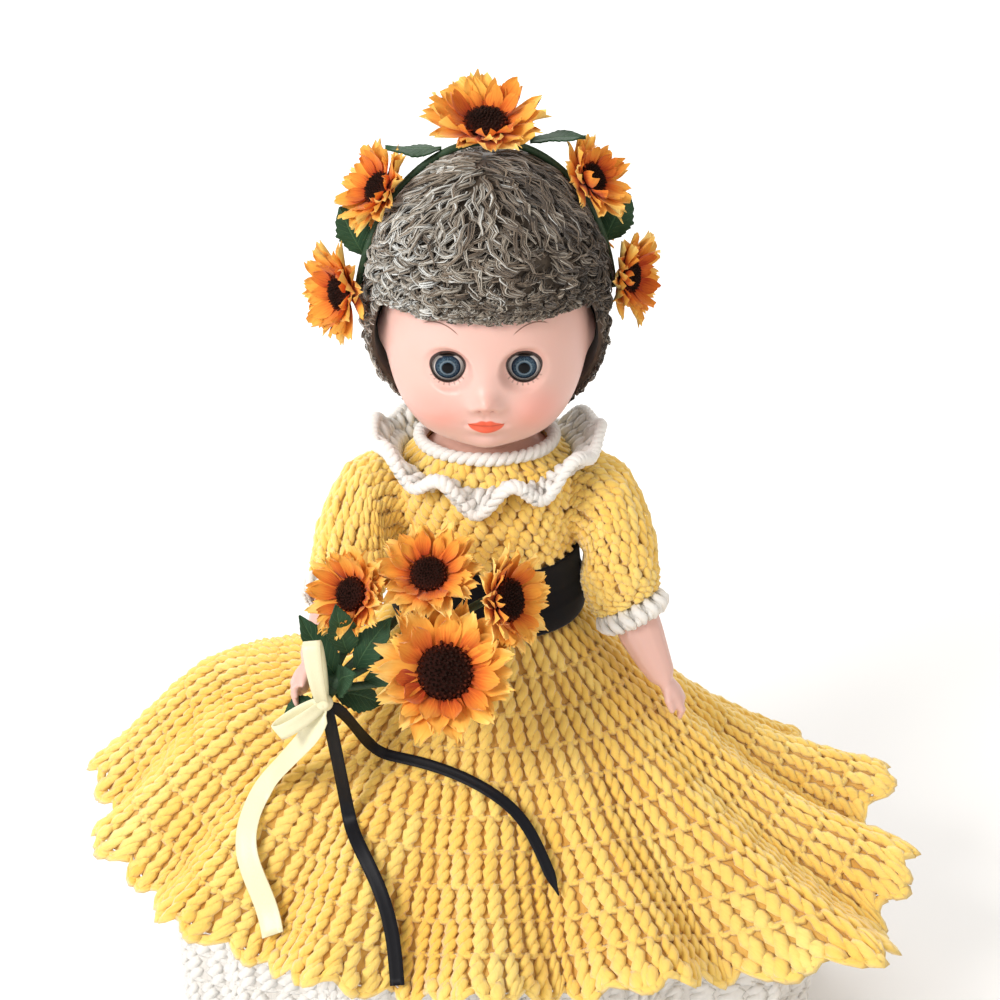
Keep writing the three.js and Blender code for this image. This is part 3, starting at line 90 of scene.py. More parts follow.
def side_bell(share):
    return np.exp(-(((share - 0.63) / 0.33) ** 2)) * soft_step(0, 0.2, share)


def swell_at(turn, share):
    return side_bell(share) * np.maximum(0, -np.cos(turn)) ** 4


def fold_wave(turn):
    return np.cos(skirt_folds * (turn + math.pi / 2))


def skirt_middle(turn, share):
    share = np.maximum(share, 0)
    behind = share * soft_step(0, math.sin(math.radians(60)), np.sin(turn))
    toward = np.cos(turn - lobe_turn)
    reach = 1 - back_short * behind + lobe_reach * share**2 * np.maximum(0, toward) ** 25
    drop = (skirt_top - hem_height) * share**drop_power + back_droop * behind
    droop = side_bell(share) * np.maximum(0, np.cos(turn)) ** 2
    fold = fold_depth * (1 + fold_gain * toward) * share**fold_power / math.sqrt(2) * fold_wave(turn)
    x = (blend(skirt_waist[0], skirt_hem[0], share) * reach + fold) * np.cos(turn)
    y = (blend(skirt_waist[1], skirt_hem[1], share) * reach + fold) * np.sin(turn)
    z = skirt_top - drop + right_lift * swell_at(turn, share) - left_droop * droop + fold
    return np.stack([x, y, z], -1)


def off_surface(middle, turn, share, lift):
    """A point that stands off a surface by the lift, along the surface's normal."""
    step = 0.01
    around = middle(turn + step, share) - middle(turn - step, share)
    down = middle(turn, share + step) - middle(turn, np.maximum(share - step, 0))
    return middle(turn, share) + unit(np.cross(down, around)) * np.asarray(lift)[..., None]


def skirt_surface(turn, share, lift):
    return off_surface(skirt_middle, turn, share, lift)


# Streamers. Three satin ribbons fall from the posy's knot and lie over the skirt: a broad cream one
# and a black one down the front, and a narrow black one that drifts across it.
posy_knot = np.array([-64.8, -89.3, 200.3])
knot_radius, ribbon_thick, ribbon_lift = 4, 0.6, 5.7
# Each one's name, its way out of the knot, its width, and where it lies on the skirt: the degrees
# round it and the share down it.
streamers = [
    ("cream_streamer", (-1.25, -1.1, -2.9), 10, [(222, 0.6), (226, 0.75), (233, 0.86), (239, 0.94)]),
    ("black_streamer_long", (0.38, 0, -1.15), 6, [(241, 0.55), (249, 0.68), (254, 0.82), (257, 0.99)]),
    ("black_streamer_short", (1.5, 0, -0.65), 4.8,
     [(240, 0.36), (252, 0.355), (265, 0.385), (276, 0.49), (281, 0.62), (283, 0.73)]),
]


def length_of(path):
    return np.linalg.norm(np.diff(path, axis=0), axis=1).sum()


def smooth_line(points, count, passes=0):
    """A smooth line through the points with even steps, and then eased so many times."""
    points = np.array(points, float)
    ends = np.concatenate([[2 * points[0] - points[1]], points, [2 * points[-1] - points[-2]]])
    line = []
    for i in range(len(points) - 1):
        a, b, c, d = ends[i : i + 4]
        for t in np.linspace(0, 1, 12, endpoint=False):
            cubic = (2 * a - 5 * b + 4 * c - d) * t**2 + (3 * b - a - 3 * c + d) * t**3
            line.append(0.5 * (2 * b + (c - a) * t + cubic))
    line = np.array(line + [points[-1]])
    length = np.concatenate([[0], np.cumsum(np.linalg.norm(np.diff(line, axis=0), axis=1))])
    wanted = np.linspace(0, length[-1], count)
    line = np.stack([np.interp(wanted, length, line[:, k]) for k in range(line.shape[1])], -1)
    for _ in range(passes):
        line[1:-1] += 0.25 * (line[2:] - 2 * line[1:-1] + line[:-2])
    return line


def grid_faces(rows, columns, closed_rows, closed_columns):
    """Four-sided faces over a grid of points, and where each corner lies in its map, from 0 to 1."""
    high = rows if closed_rows else rows - 1
    wide = columns if closed_columns else columns - 1
    i, j = (index.ravel() for index in np.meshgrid(np.arange(high), np.arange(wide), indexing="ij"))
    steps = [(0, 0), (1, 0), (1, 1), (0, 1)]
    quads = np.stack([((i + a) % rows) * columns + (j + b) % columns for a, b in steps], -1)
    corners = np.stack([np.stack([(j + b) / wide, (i + a) / high], -1) for a, b in steps], 1)
    return quads, corners.reshape(-1, 2)


def capped(rings, ends, spread=(1, 1), far=0.0):
    """Rings of points closed to a point at each end. A shape is its points, quads, triangles and
    the corners of its map."""
    rows, columns = rings.shape[:2]
    quads, corners = grid_faces(rows, columns, False, True)
    first = np.arange(columns)
    last = (rows - 1) * columns + first
    start = np.stack([first, np.roll(first, -1), np.full(columns, rows * columns)], -1)
    finish = np.stack([np.full(columns, rows * columns + 1), np.roll(last, -1), last], -1)
    caps = np.zeros((2 * start.size, 2))
    caps[start.size :, 1] = far
    points = np.concatenate([rings.reshape(-1, 3), ends])
    return points, quads, np.concatenate([start, finish]), np.concatenate([corners * spread, caps])


def rings_round(path, ahead, up, radii, sides):
    """Rings of points round a path, or round many."""
    across = unit(np.cross(ahead, np.array(up, float)))
    above = np.cross(across, ahead)
    angles = 2 * math.pi * np.arange(sides) / sides
    return np.stack([path + radii * (across * math.cos(a) + above * math.sin(a)) for a in angles], -2)


def tube(path, radii, sides, up=(0, 0, 1)):
    """A closed tube along a path."""
    path = np.array(path, float)
    radii = np.broadcast_to(np.array(radii, float), len(path))[:, None]
    rings = rings_round(path, unit(np.gradient(path, axis=0)), up, radii, sides)
    return capped(rings, path[[0, -1]], (1, length_of(path)), length_of(path))


def joined(shapes):
    """Several shapes as one."""
    count = np.cumsum([0] + [len(s[0]) for s in shapes])
    quads, triangles = (np.concatenate([s[k] + n for s, n in zip(shapes, count)]) for k in (1, 2))
    fours = [s[3][: s[1].size] for s in shapes]
    threes = [s[3][s[1].size :] for s in shapes]
    return np.concatenate([s[0] for s in shapes]), quads, triangles, np.concatenate(fours + threes)


def make_piece(name, shape, material, body, slot, stands_for=None, **numbers):
    """A mesh object that rides on a body, with its faces outward and a number for each point."""
    points, quads, triangles, corners = shape
    a, b, c, d = (points[quads[:, k]] for k in range(4))
    volume = (np.cross(a, b) * c).sum() + (np.cross(a, c) * d).sum()
    a, b, c = (points[triangles[:, k]] for k in range(3))
    volume += (np.cross(a, b) * c).sum()
    if volume < 0:
        fours = corners[: quads.size].reshape(-1, 4, 2)[:, ::-1].reshape(-1, 2)
        threes = corners[quads.size :].reshape(-1, 3, 2)[:, ::-1].reshape(-1, 2)
        quads, triangles, corners = quads[:, ::-1], triangles[:, ::-1], np.concatenate([fours, threes])
    mesh = bpy.data.meshes.new(name)
    mesh.from_pydata(((points + doll_middle) * mm).tolist(), [], quads.tolist() + triangles.tolist())
    mesh.uv_layers.new(name="along").data.foreach_set("uv", corners.ravel())
    for label, values in numbers.items():
        spread = mesh.attributes.new(label, "FLOAT", "POINT")
        spread.data.foreach_set("value", np.full(len(points), values, float))
    mesh.materials.append(material)
    mesh.shade_smooth()
    piece = added(name, mesh)
    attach(piece, body)
    if stands_for:
        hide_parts(stands_for)
    return piece


def strap(path, sides, width, thick, crown=0.0):
    """A flat ribbon along a path, its width along a side direction at each point, with soft edges."""
    path, sides = np.array(path, float), np.array(sides)
    ahead = unit(np.gradient(path, axis=0))
    side = unit(sides - ahead * (sides * ahead).sum(1, keepdims=True))
    up = np.cross(ahead, side)
    outline = [(-0.5, 0), (-0.47, 0.5), (-0.2, 0.55), (0.2, 0.55), (0.47, 0.5)]
    outline += [(-a, -b) for a, b in outline]
    width, crown = (np.broadcast_to(value, len(path))[:, None] for value in (width, crown))
    rings = [path + side * (a * width) + up * (b * thick + crown * (1 - (2 * a) ** 2)) for a, b in outline]
    return capped(np.stack(rings, 1), path[[0, -1]], (1, length_of(path)))


def wire_up(tree, kind, settings=(), **inputs):
    """A node with its settings, and each input given a value or another node's output."""
    node = tree.nodes.new("ShaderNode" + kind)
    for key, value in dict(settings).items():
        setattr(node, key, value)
    for key, value in inputs.items():
        socket = node.inputs[int(key[1:]) if key[1:].isdigit() else key]
        value = value.socket if isinstance(value, Term) else value
        if isinstance(value, bpy.types.NodeSocket):
            tree.links.new(value, socket)
        else:
            socket.default_value = value
    return node


class Term:
    """A number or colour in a node tree, with the usual sums, so a painted line can be written as one."""

    def __init__(self, socket):
        self.socket, self.tree = socket, socket.id_data

    def turn(self, kind, *others, clamp=False):
        inputs = {f"i{k}": value for k, value in enumerate((self, *others))}
        return Term(wire_up(self.tree, "Math", {"operation": kind, "use_clamp": clamp}, **inputs).outputs[0])

    def __add__(self, other):
        return self.turn("ADD", other)

    def __sub__(self, other):
        return self.turn("SUBTRACT", other)

    def __mul__(self, other):
        return self.turn("MULTIPLY", other)

    def size(self):
        return self.turn("ABSOLUTE")

    def far(self, other):
        return (self.turn("POWER", 2) + other.turn("POWER", 2)).turn("SQRT")

    def ramp(self, low, high):
        """Softly from 0 at low to 1 at high."""
        inputs = {"Value": self, "From Min": low, "From Max": high}
        return Term(wire_up(self.tree, "MapRange", {"interpolation_type": "SMOOTHSTEP"}, **inputs).outputs[0])

    def between(self, low, high):
        """From low at 0 to high at 1."""
        return Term(wire_up(self.tree, "MapRange", Value=self, i3=low, i4=high).outputs[0])


class Paint:
    """A material in the making. Its calls add nodes and give back what they carry."""

    def __init__(self, name):
        self.material = bpy.data.materials.new(name)
        self.material.use_nodes = True
        self.tree = self.material.node_tree

    def add(self, kind, settings=(), output=0, **inputs):
        return Term(wire_up(self.tree, kind, settings, **inputs).outputs[output])

    def along(self):
        """The piece's own map: round or across it, and along it."""
        return self.add("UVMap", {"uv_map": "along"})

    def parts(self, vector):
        return [Term(part) for part in wire_up(self.tree, "SeparateXYZ", i0=vector).outputs]

    def number(self, name):
        """The number that the piece's points hold under the name."""
        return self.add("Attribute", {"attribute_name": name}, "Fac")

    def noise(self, scale, detail=2.0, rough=0.5, at=None):
        at = at or self.add("TexCoord", output="Object")
        return self.add("TexNoise", Vector=at, Scale=scale, Detail=detail, Roughness=rough)

    def streaks(self, across, along, **settings):
        """Noise drawn out along the piece's map."""
        return self.noise(at=self.add("Mapping", i0=self.along(), i3=(across, along, 1)), **settings)

    def mix(self, share, low, high, kind="MIX"):
        low, high = (c if isinstance(c, Term) else (*c, 1) for c in (low, high))
        return self.add("Mix", {"data_type": "RGBA", "blend_type": kind}, 2, i0=share, i6=low, i7=high)

    def dyed(self, share, *stops):
        """A colour by the share, through stops of a place and a colour."""
        node = wire_up(self.tree, "ValToRGB", Fac=share)
        elements = node.color_ramp.elements
        for element, (place, colour) in zip(elements, (stops[0], stops[-1])):
            element.position, element.color = place, (*colour, 1)
        for place, colour in stops[1:-1]:
            elements.new(place).color = (*colour, 1)
        return Term(node.outputs[0])

    def over(self, colour, layers):
        """The colour under layers, each a mask and its paint."""
        for mask, paint in layers:
            colour = self.mix(mask, colour, paint)
        return colour

    def finish(self, colour, rough, bump=None, **values):
        """The material, with its colour and roughness, a bump of a height, strength and depth, and
        the shader's other values."""
        values = {"Base Color": colour, "Roughness": rough, **values}
        if bump:
            values["Normal"] = self.add("Bump", Height=bump[0], Strength=bump[1], Distance=bump[2])
        for name, value in values.items():
            socket = self.tree.nodes["Principled BSDF"].inputs[name.replace("_", " ")]
            if isinstance(value, Term):
                self.tree.links.new(value.socket, socket)
            else:
                socket.default_value = value
        return self.material


def satin(name, colour, deep, rough, shine):
    """Woven satin: fine threads along the ribbon, and a soft sheen across its bends."""
    paint = Paint(name)
    grain = paint.streaks(60, 0.5, scale=2.0)
    rough = grain.between(rough - 0.08, rough + 0.12)
    colour = paint.mix(grain, deep, colour)
    return paint.finish(colour, rough, (grain, 0.25, 0.0002), Specular_IOR_Level=shine, Anisotropic=0.5)


cream_satin = satin("cream satin", (0.86, 0.82, 0.58), (0.7, 0.65, 0.42), 0.36, 0.5)
black_satin = satin("black satin", (0.007, 0.007, 0.011), (0.002, 0.002, 0.003), 0.5, 0.2)

for name, start, width, laid in streamers:
    first = posy_knot + np.array(start) * knot_radius
    spots = [skirt_surface(math.radians(turn), share, ribbon_lift) for turn, share in smooth_line(laid, 9)]
    route = smooth_line([posy_knot + (0, 1, 0), blend(posy_knot, first, 0.6), first, *spots], 52, 12)
    outward = np.stack([route[:, 0] * 0.5, route[:, 1], np.full(len(route), 90.0)], -1)
    across = np.cross(np.gradient(route, axis=0), outward)
    share = np.linspace(0, 1, len(route))
    pointed = np.clip((1 - share) / 0.05, 0.12, 1) if name.endswith("short") else 1
    width_there = width * pointed * np.clip(share / 0.06, 0.55, 1)
    finish, slot = (cream_satin, "satin_cream") if name.startswith("cream") else (black_satin, "satin_black")
    shape = strap(route, across, width_there, ribbon_thick, 0.4)
    make_piece(name, shape, finish, "right_arm", slot, name)
    ((route[0] + doll_middle) * mm).tolist()
    ((route + doll_middle) * mm).tolist()

# Floor and light. The doll stands on a plain white floor that fills the view. A big soft lamp stands
# before her right shoulder, a warm one fills from her left, and the sky is a pale even white.
floor_half = 4000
lamps = [
    ("window", (-900, -900, 1100), 600, 19, (1.0, 0.98, 0.95)),
    ("fill", (1000, -700, 700), 900, 3, (1.0, 0.84, 0.64)),
    ("back", (-300, 1000, 1300), 900, 6, (1.0, 0.97, 0.92)),
    ("far floor", (-300, 2700, 1700), 2600, 60, (1.0, 1.0, 1.0)),
]
bpy.ops.object.select_all(action="DESELECT")
bpy.ops.mesh.primitive_plane_add(size=2 * floor_half * mm, location=(0, 0, 0))
floor = bpy.context.object
floor.name = "floor"
floor.data.materials.append(Paint("floor").finish((0.93, 0.93, 0.93, 1), 0.9))
for name, place, size, power, colour in lamps:
    lamp = added(name, bpy.data.lights.new(name, "AREA"))
    lamp.data.size, lamp.data.energy, lamp.data.color = size * mm, power, colour
    lamp.location = placed(place)
    aim = Vector((0, 0, 200)) if name != "far floor" else Vector((place[0], place[1], 0))
    lamp.rotation_euler = (aim - Vector(place)).to_track_quat("-Z", "Y").to_euler()
sky = bpy.data.worlds.new("sky")
sky.use_nodes = True
sky.node_tree.nodes["Background"].inputs[0].default_value = (1, 0.99, 0.98, 1)
sky.node_tree.nodes["Background"].inputs[1].default_value = 0.55
bpy.context.scene.world = sky
bpy.context.scene.view_settings.view_transform = "Standard"

# Skirt. Ten rounds of tall crochet in thick yellow yarn, worked from the waist to a scalloped hem.
# Each stitch is a post of two twisted strands under a loop, and a close backing shows between them.
# The backing and the low parts of the stitches take painted shade, and the stitches are painted
# paler on the folds' ridges and deeper in their hollows: painted light and shade.
yarn_radius, tall_width, skirt_rounds = 1.78, 6.1, 10
scallop_width, scallop_depth = 17, 0.4
hem_round, edge_width = 1000, 6.0
rng = np.random.default_rng(7)


def yarn_group():
    """How high the yarn stands at each point of its map, from its twisted plies and its fibres."""
    group = bpy.data.node_groups.new("yarn twist", "ShaderNodeTree")
    for name, kind in [("Map", "Vector"), ("Plies", "Float"), ("Pitch", "Float")]:
        group.interface.new_socket(name, in_out="INPUT", socket_type="NodeSocket" + kind)
    for name in ("Height", "Fibre"):
        group.interface.new_socket(name, in_out="OUTPUT", socket_type="NodeSocketFloat")
    inside = group.nodes.new("NodeGroupInput").outputs
    outside = group.nodes.new("NodeGroupOutput").inputs
    around, along, _ = (Term(part) for part in wire_up(group, "SeparateXYZ", i0=inside[0]).outputs)
    along = along.turn("DIVIDE", inside[2])
    slant = around * inside[1] + along
    ply = (slant * (2 * math.pi)).turn("SINE").turn("MULTIPLY_ADD", 0.5, 0.5)
    fine = wire_up(group, "CombineXYZ", i0=slant * 5.0, i1=along).outputs[0]
    fibre = Term(wire_up(group, "TexNoise", Vector=fine, Scale=1.6, Detail=3.0, Roughness=0.7).outputs[0])
    group.links.new((fibre + ply * 0.35).socket, outside[0])
    group.links.new(fibre.socket, outside[1])
    return group


yarn_twist = yarn_group()


def yarn(name, light, middle, deep):
    """Soft acrylic yarn with twisted fuzzy plies: painted shade deepens it in the gaps, and it is pale where
    it stands proud.
    """
    paint = Paint(name)
    twist = {"Map": paint.along(), "Plies": 2.0, "Pitch": 5.0}
    height, fibre = map(Term, wire_up(paint.tree, "Group", {"node_tree": yarn_twist}, **twist).outputs)
    # Pale where fibre patches and each stitch's tint stand proud; the tint also holds painted light and shade
    # on the folds.
    patches_and_fold_light = (fibre * paint.noise(28.0)).turn("ADD", paint.number("tint"), clamp=True)
    # Painted shade: from the middle colour to the deep one where the points lie low in the gaps.
    colour = paint.mix(patches_and_fold_light, paint.dyed(paint.number("depth"), (0.08, deep), (0.55, middle)), light)
    sheen = {"Specular_IOR_Level": 0.15, "Sheen_Weight": 0.5, "Sheen_Roughness": 0.6}
    return paint.finish(colour, 0.9, (height, 0.6, 0.0006), **sheen)


# Each yarn's deep colour is the painted shade of its gaps.
yellow_yarn = yarn("yellow yarn", (1.0, 0.81, 0.27), (0.93, 0.58, 0.09), (0.6, 0.26, 0.02))
white_yarn = yarn("white yarn", (0.9, 0.88, 0.85), (0.84, 0.82, 0.78), (0.62, 0.57, 0.51))


def twisted_stitch(height, turns, spread, base, rings=7, sides=5, loop=1.0, lead=0.0):
    """One stitch on flat fabric: across and up as parts of its cell, and out in millimetres."""
    strands = []
    along = np.linspace(0, 1, rings)
    bulge = np.sin(math.pi * along)
    for half in (0, math.pi):
        phase = lead + half + 2 * math.pi * turns * along
        x = spread * (0.55 + 0.45 * bulge) * np.cos(phase)
        z = base + 0.8 * spread * np.sin(phase) * (0.4 + 0.6 * bulge)
        path = np.stack([x, blend(-0.06, 1.02, along) * height, z], -1)
        strands.append(tube(path, yarn_radius * (0.75 + 0.28 * bulge), sides))
    if loop:
        half = tall_width * 0.55
        path = [(-half, 0.93, -0.9), (-half * 0.3, 0.97, 0.1), (half * 0.4, 0.99, -0.1), (half, 0.93, -1.0)]
        path = np.array(path) * (1, height, 1) + (0, 0, base)
        strands.append(tube(path, loop * np.array([1, 1.4, 1.4, 0.9]), 4))
    points, *faces = joined(strands)
    return points / (tall_width, height, 1), *faces


def stamp(stitch, surface, cells, rough=1.0):
    """The stitch copied into each cell of a fabric. A cell is its middle along the round, its width,
    and where it starts and ends up the fabric, in the surface's own two directions."""
    points, quads, triangles, corners = stitch
    cells = np.array(cells, float)
    count = len(cells)
    jitter, lean, patches_and_fold_light, wide = (rng.normal(0, size * rough, (count, 1)) for size in (0.05, 0.07, 0.09, 0.05))
    across = points[:, 0] * (1 + wide) + lean * (points[:, 1] - 0.5) + jitter
    across = across * cells[:, 1:2] + cells[:, 0:1]
    up = cells[:, 2:3] + (cells[:, 3:4] - cells[:, 2:3]) * points[:, 1]
    spots = surface(across, up, points[:, 2] * (1 + patches_and_fold_light)).reshape(-1, 3)
    shift = (np.arange(count) * len(points))[:, None, None]
    halves = (corners[: quads.size], corners[quads.size :])
    map_of = np.concatenate([np.tile(half, (count, 1)) for half in halves])
    # How far out each point stands; the yarn paints shade where it is low.
    low, high = points[:, 2].min(), points[:, 2].max()
    depth = np.tile((points[:, 2] - low) / (high - low), count)
    tint = np.repeat(rng.normal(0.05, 0.09, count), len(points))
    return (spots, (quads + shift).reshape(-1, 4), (triangles + shift).reshape(-1, 3), map_of), depth, tint


def fabric(name, stamped, material, body, slot, stands_for=None):
    """One piece from several stamped shapes, each with its points' depth and tint."""
    shapes, depths, tints = zip(*stamped)
    numbers = {"depth": np.concatenate(depths), "tint": np.concatenate(tints)}
    return make_piece(name, joined(shapes), material, body, slot, stands_for, **numbers)


def ring_cells(count, start, end, offset=0.0):
    width = 2 * math.pi / count
    return [(width * (j + offset), width, start, end) for j in range(count)]


def shell(surface, turns, rows, outer, inner):
    """A closed thin wall that follows a surface all the way round."""
    turn = np.linspace(0, 2 * math.pi, turns, endpoint=False)
    levels = [(row, outer) for row in rows] + [(row, inner) for row in rows[::-1]]
    rings = [surface(turn, np.full(turns, row), np.full(turns, lift)) for row, lift in levels]
    quads, corners = grid_faces(len(rings), turns, True, True)
    return np.concatenate(rings), quads, np.zeros((0, 3), int), corners * (turns, 2 * len(rows))


def skirt_fabric(turn, share, lift):
    last = (share - 1 + 1 / skirt_rounds) * skirt_rounds
    scallops = round(math.pi * sum(skirt_hem) / scallop_width)
    reach = np.maximum(last, 0) * (np.abs(np.sin(scallops * turn / 2)) * scallop_depth - 0.12) / skirt_rounds
    return skirt_surface(turn, share + reach, lift + 0.8 * np.sin(5 * turn + 9 * share) * share)


tall_stitch = twisted_stitch(14.6, 1.45, 1.4, 0.3, rings=8, lead=0.6)
upper, lower = [], []
for row in range(skirt_rounds):
    share = (row + 0.5) / skirt_rounds
    half = sum(blend(start, end, share) for start, end in zip(skirt_waist, skirt_hem))
    count = round(math.pi * half * (1 + 0.08 * share**3) / tall_width)
    cells = ring_cells(count, row / skirt_rounds, (row + 1) / skirt_rounds, 0.5 * (row % 2))
    shape, depth, tint = stamp(tall_stitch, skirt_fabric, cells)
    turn = np.arctan2(shape[0][:, 1], shape[0][:, 0])
    # Painted light and shade: stitches on the folds' ridges are tinted paler and those in their hollows
    # deeper.
    tint = tint + 0.2 * (row / skirt_rounds) ** 1.5 * fold_wave(turn) - 0.04
    (upper if row < skirt_rounds / 2 else lower).append((shape, depth, tint))
edge_stitch = twisted_stitch(5.0, 0.5, 1.3, 0.4, rings=5, loop=1.25)
lower.append(stamp(edge_stitch, skirt_fabric, ring_cells(round(hem_round / edge_width), 0.965, 1.005), 1.5))
yellow_cloth = (yellow_yarn, "dressed_body", "yarn_yellow")
skirt_stitches = fabric("skirt_stitches", upper, *yellow_cloth)
hem_stitches = fabric("skirt_hem_stitches", lower, *yellow_cloth)
skirt_wall = shell(skirt_fabric, 224, np.linspace(0.0, 0.985, 48), -0.7, -1.9)
# The backing takes the yarn's deep colour: painted shade between the stitches.
make_piece("skirt_backing", skirt_wall, *yellow_cloth, "skirt", depth=0.1, tint=0)

# Petticoat. White crochet in the same tall stitch, gathered under the skirt and long enough to reach
# the floor. Only its lower rounds are open to view; the rest is hidden by the skirt.
petticoat_edge, petticoat_fold, petticoat_rounds, petticoat_count = 0.78, 6, 7, 118
petticoat_reach = (1.05, 0.99)
petticoat_under = -(3.4 / 2 + 2.6 / 2 + 1.5)


def petticoat_surface(turn, fall, lift):
    top = skirt_surface(turn, np.full_like(fall, petticoat_edge), np.full_like(fall, petticoat_under))
    flat = np.hypot(top[..., 0], top[..., 1])
    reach = flat * blend(*petticoat_reach, fall) + petticoat_fold * fall * fold_wave(turn) + lift
    z = np.maximum(top[..., 2] * (1 - fall), 0.4)
    return np.stack([top[..., 0] / flat * reach, top[..., 1] / flat * reach, z], -1)


def petticoat_whole(turn, row, lift):
    """From 0 at the waist to 1 under the skirt's edge and 2 at the floor."""
    if row[0] > 1:
        return petticoat_surface(turn, row - 1, lift)
    share = blend(0.18, petticoat_edge, row)
    slope = skirt_surface(turn, share, lift + petticoat_under)
    slope[..., 2] -= right_lift * swell_at(turn, share)
    return slope


white_rounds = []
for row in range(petticoat_rounds):
    start, end = (0.05 + 0.95 * edge / petticoat_rounds for edge in (row, row + 1))
    cells = ring_cells(petticoat_count, start, end - 0.006, 0.5 * (row % 2))
    white_rounds.append(stamp(tall_stitch, petticoat_surface, cells))
white_cloth = (white_yarn, "dressed_body", "yarn_white")
petticoat_stitches = fabric("petticoat_stitches", white_rounds, *white_cloth)
petticoat_rows = np.concatenate([np.linspace(0, 1, 18), np.linspace(1.02, 2, 18)])
petticoat_wall = shell(petticoat_whole, 192, petticoat_rows, 0.2, -1.1)
# The backing is painted toward the white yarn's deep colour, as shade between the stitches.
make_piece("petticoat_backing", petticoat_wall, *white_cloth, "petticoat", depth=0.3, tint=0)

# Bodice. Short rounds of the same yellow yarn, worked close round the body, with holes for the arms.
# The sash hides its lower half.
bodice_half, bodice_height = (44.5, 34), 80.2
shoulder_height, shoulder_half, armhole_radius = 246, 37.9, 16.5
short_width, short_height = 6.5, 6.5
first_round, open_rounds = 226, 8
# Shares of its height, with the shares of its half width and half depth there.
bodice_shares = np.array([
    (0, 0.92, 0.95), (0.16, 0.955, 0.95), (0.26, 0.885, 0.95), (0.43, 0.85, 0.97), (0.62, 0.875, 1),
    (0.77, 0.875, 0.97), (0.88, 0.845, 0.88), (0.95, 0.77, 0.8), (1, 0.65, 0.72),
])


def bodice_reach(height, lift):
    """Half the bodice's width and half its depth at a height."""
    share, spots = (height - waist_height) / bodice_height, bodice_shares[:, 0]
    return [np.interp(share, spots, bodice_shares[:, k + 1]) * bodice_half[k] + lift for k in (0, 1)]


def bodice_surface(turn, height, lift):
    rx, ry = bodice_reach(height, lift)
    flat = np.where(height > shoulder_height - armhole_radius, shoulder_half + np.minimum(lift, 0), 99)
    return np.stack([np.clip(rx * np.cos(turn), -flat, flat), ry * np.sin(turn), height + 0 * turn], -1)


def away_from_arm(cell):
    middle = bodice_surface(np.array(cell[0]), np.array((cell[2] + cell[3]) / 2), np.array(0.0))
    near = math.hypot(middle[1], middle[2] - shoulder_height)
    return abs(middle[0]) < 30 or near > armhole_radius


def hold(piece):
    """Makes the piece the only one that is selected."""
    bpy.ops.object.select_all(action="DESELECT")
    piece.select_set(True)
    bpy.context.view_layer.objects.active = piece


def worked(piece, kind, **settings):
    """Applies a modifier to the piece."""
    step = piece.modifiers.new(kind.lower(), kind)
    for key, value in settings.items():
        setattr(step, key, value)
    bpy.context.view_layer.objects.active = piece
    bpy.ops.object.modifier_apply(modifier=step.name)


def carve(piece, kind, place, scale=(1, 1, 1), edge=None, **size):
    """Cuts a primitive out of the piece, and gives the cut's edge its material."""
    bpy.ops.object.select_all(action="DESELECT")
    kind(location=placed(place), **{k: v * mm if k in ("radius", "depth") else v for k, v in size.items()})
    tool = bpy.context.object
    tool.scale = scale
    if edge:
        tool.data.materials.append(edge)
    mode = "TRANSFER" if edge else "INDEX"
    worked(piece, "BOOLEAN", operation="DIFFERENCE", object=tool, material_mode=mode)
    bpy.data.objects.remove(tool)


short_stitch = twisted_stitch(short_height, 0.62, 1.55, -0.8, rings=5, loop=1.1, lead=0.9)
bodice_rounds = []
for row in range(open_rounds):
    start = first_round + row * short_height * 0.93
    size = bodice_reach(start, 0)[0] / bodice_half[0]
    count = round(math.pi * size * sum(bodice_half) / short_width)
    cells = [c for c in ring_cells(count, start, start + short_height, 0.5 * (row % 2)) if away_from_arm(c)]
    bodice_rounds.append(stamp(short_stitch, bodice_surface, cells, 1.3))
bodice_stitches = fabric("bodice_stitches", bodice_rounds, *yellow_cloth)
bodice_rows = np.linspace(waist_height, waist_height + bodice_height, 40)
bodice_wall = shell(bodice_surface, 96, bodice_rows, -1.9, -3.2)
# The backing takes the yarn's deep colour: painted shade between the stitches.
bodice_backing = make_piece("bodice_backing", bodice_wall, *yellow_cloth, "bodice", depth=0.15, tint=0)
cylinder, sphere = bpy.ops.mesh.primitive_cylinder_add, bpy.ops.mesh.primitive_uv_sphere_add
armhole = {"vertices": 48, "radius": armhole_radius - 1, "depth": 120, "rotation": (0, math.pi / 2, 0)}
carve(bodice_backing, cylinder, (0, 0, shoulder_height), **armhole)

# Puffed sleeves. Short rounds of yellow crochet that swell from the armhole and narrow to the cuff.
# The doll's right arm is raised, so its sleeve turns about the shoulder with it.
arm_reach, right_arm_raise = 107, 36
sleeve_start, sleeve_puff, sleeve_lean, sleeve_rounds = 38.3, 23.2, (0.35, 0.94), 12
cuff_radius, cuff_length = 15.5, 9
# Down the sleeve: how far out, forward and down its middle is, as shares of the arm's reach, the
# degrees by which it points down, and its radius as a share of the puff.
sleeve_shares = np.array([
    (-0.062, 0, 0, 0, 0.7), (0, 0, 0, 0, 0.76), (0.062, 0.01, 0.018, 8, 0.93), (0.115, 0.035, 0.07, 24, 0.98),
    (0.15, 0.075, 0.16, 42, 0.87), (0.176, 0.112, 0.255, 56, 0.78), (0.196, 0.145, 0.345, 62, 0.68),
    (0.21, 0.163, 0.392, 64, 0.62),
])


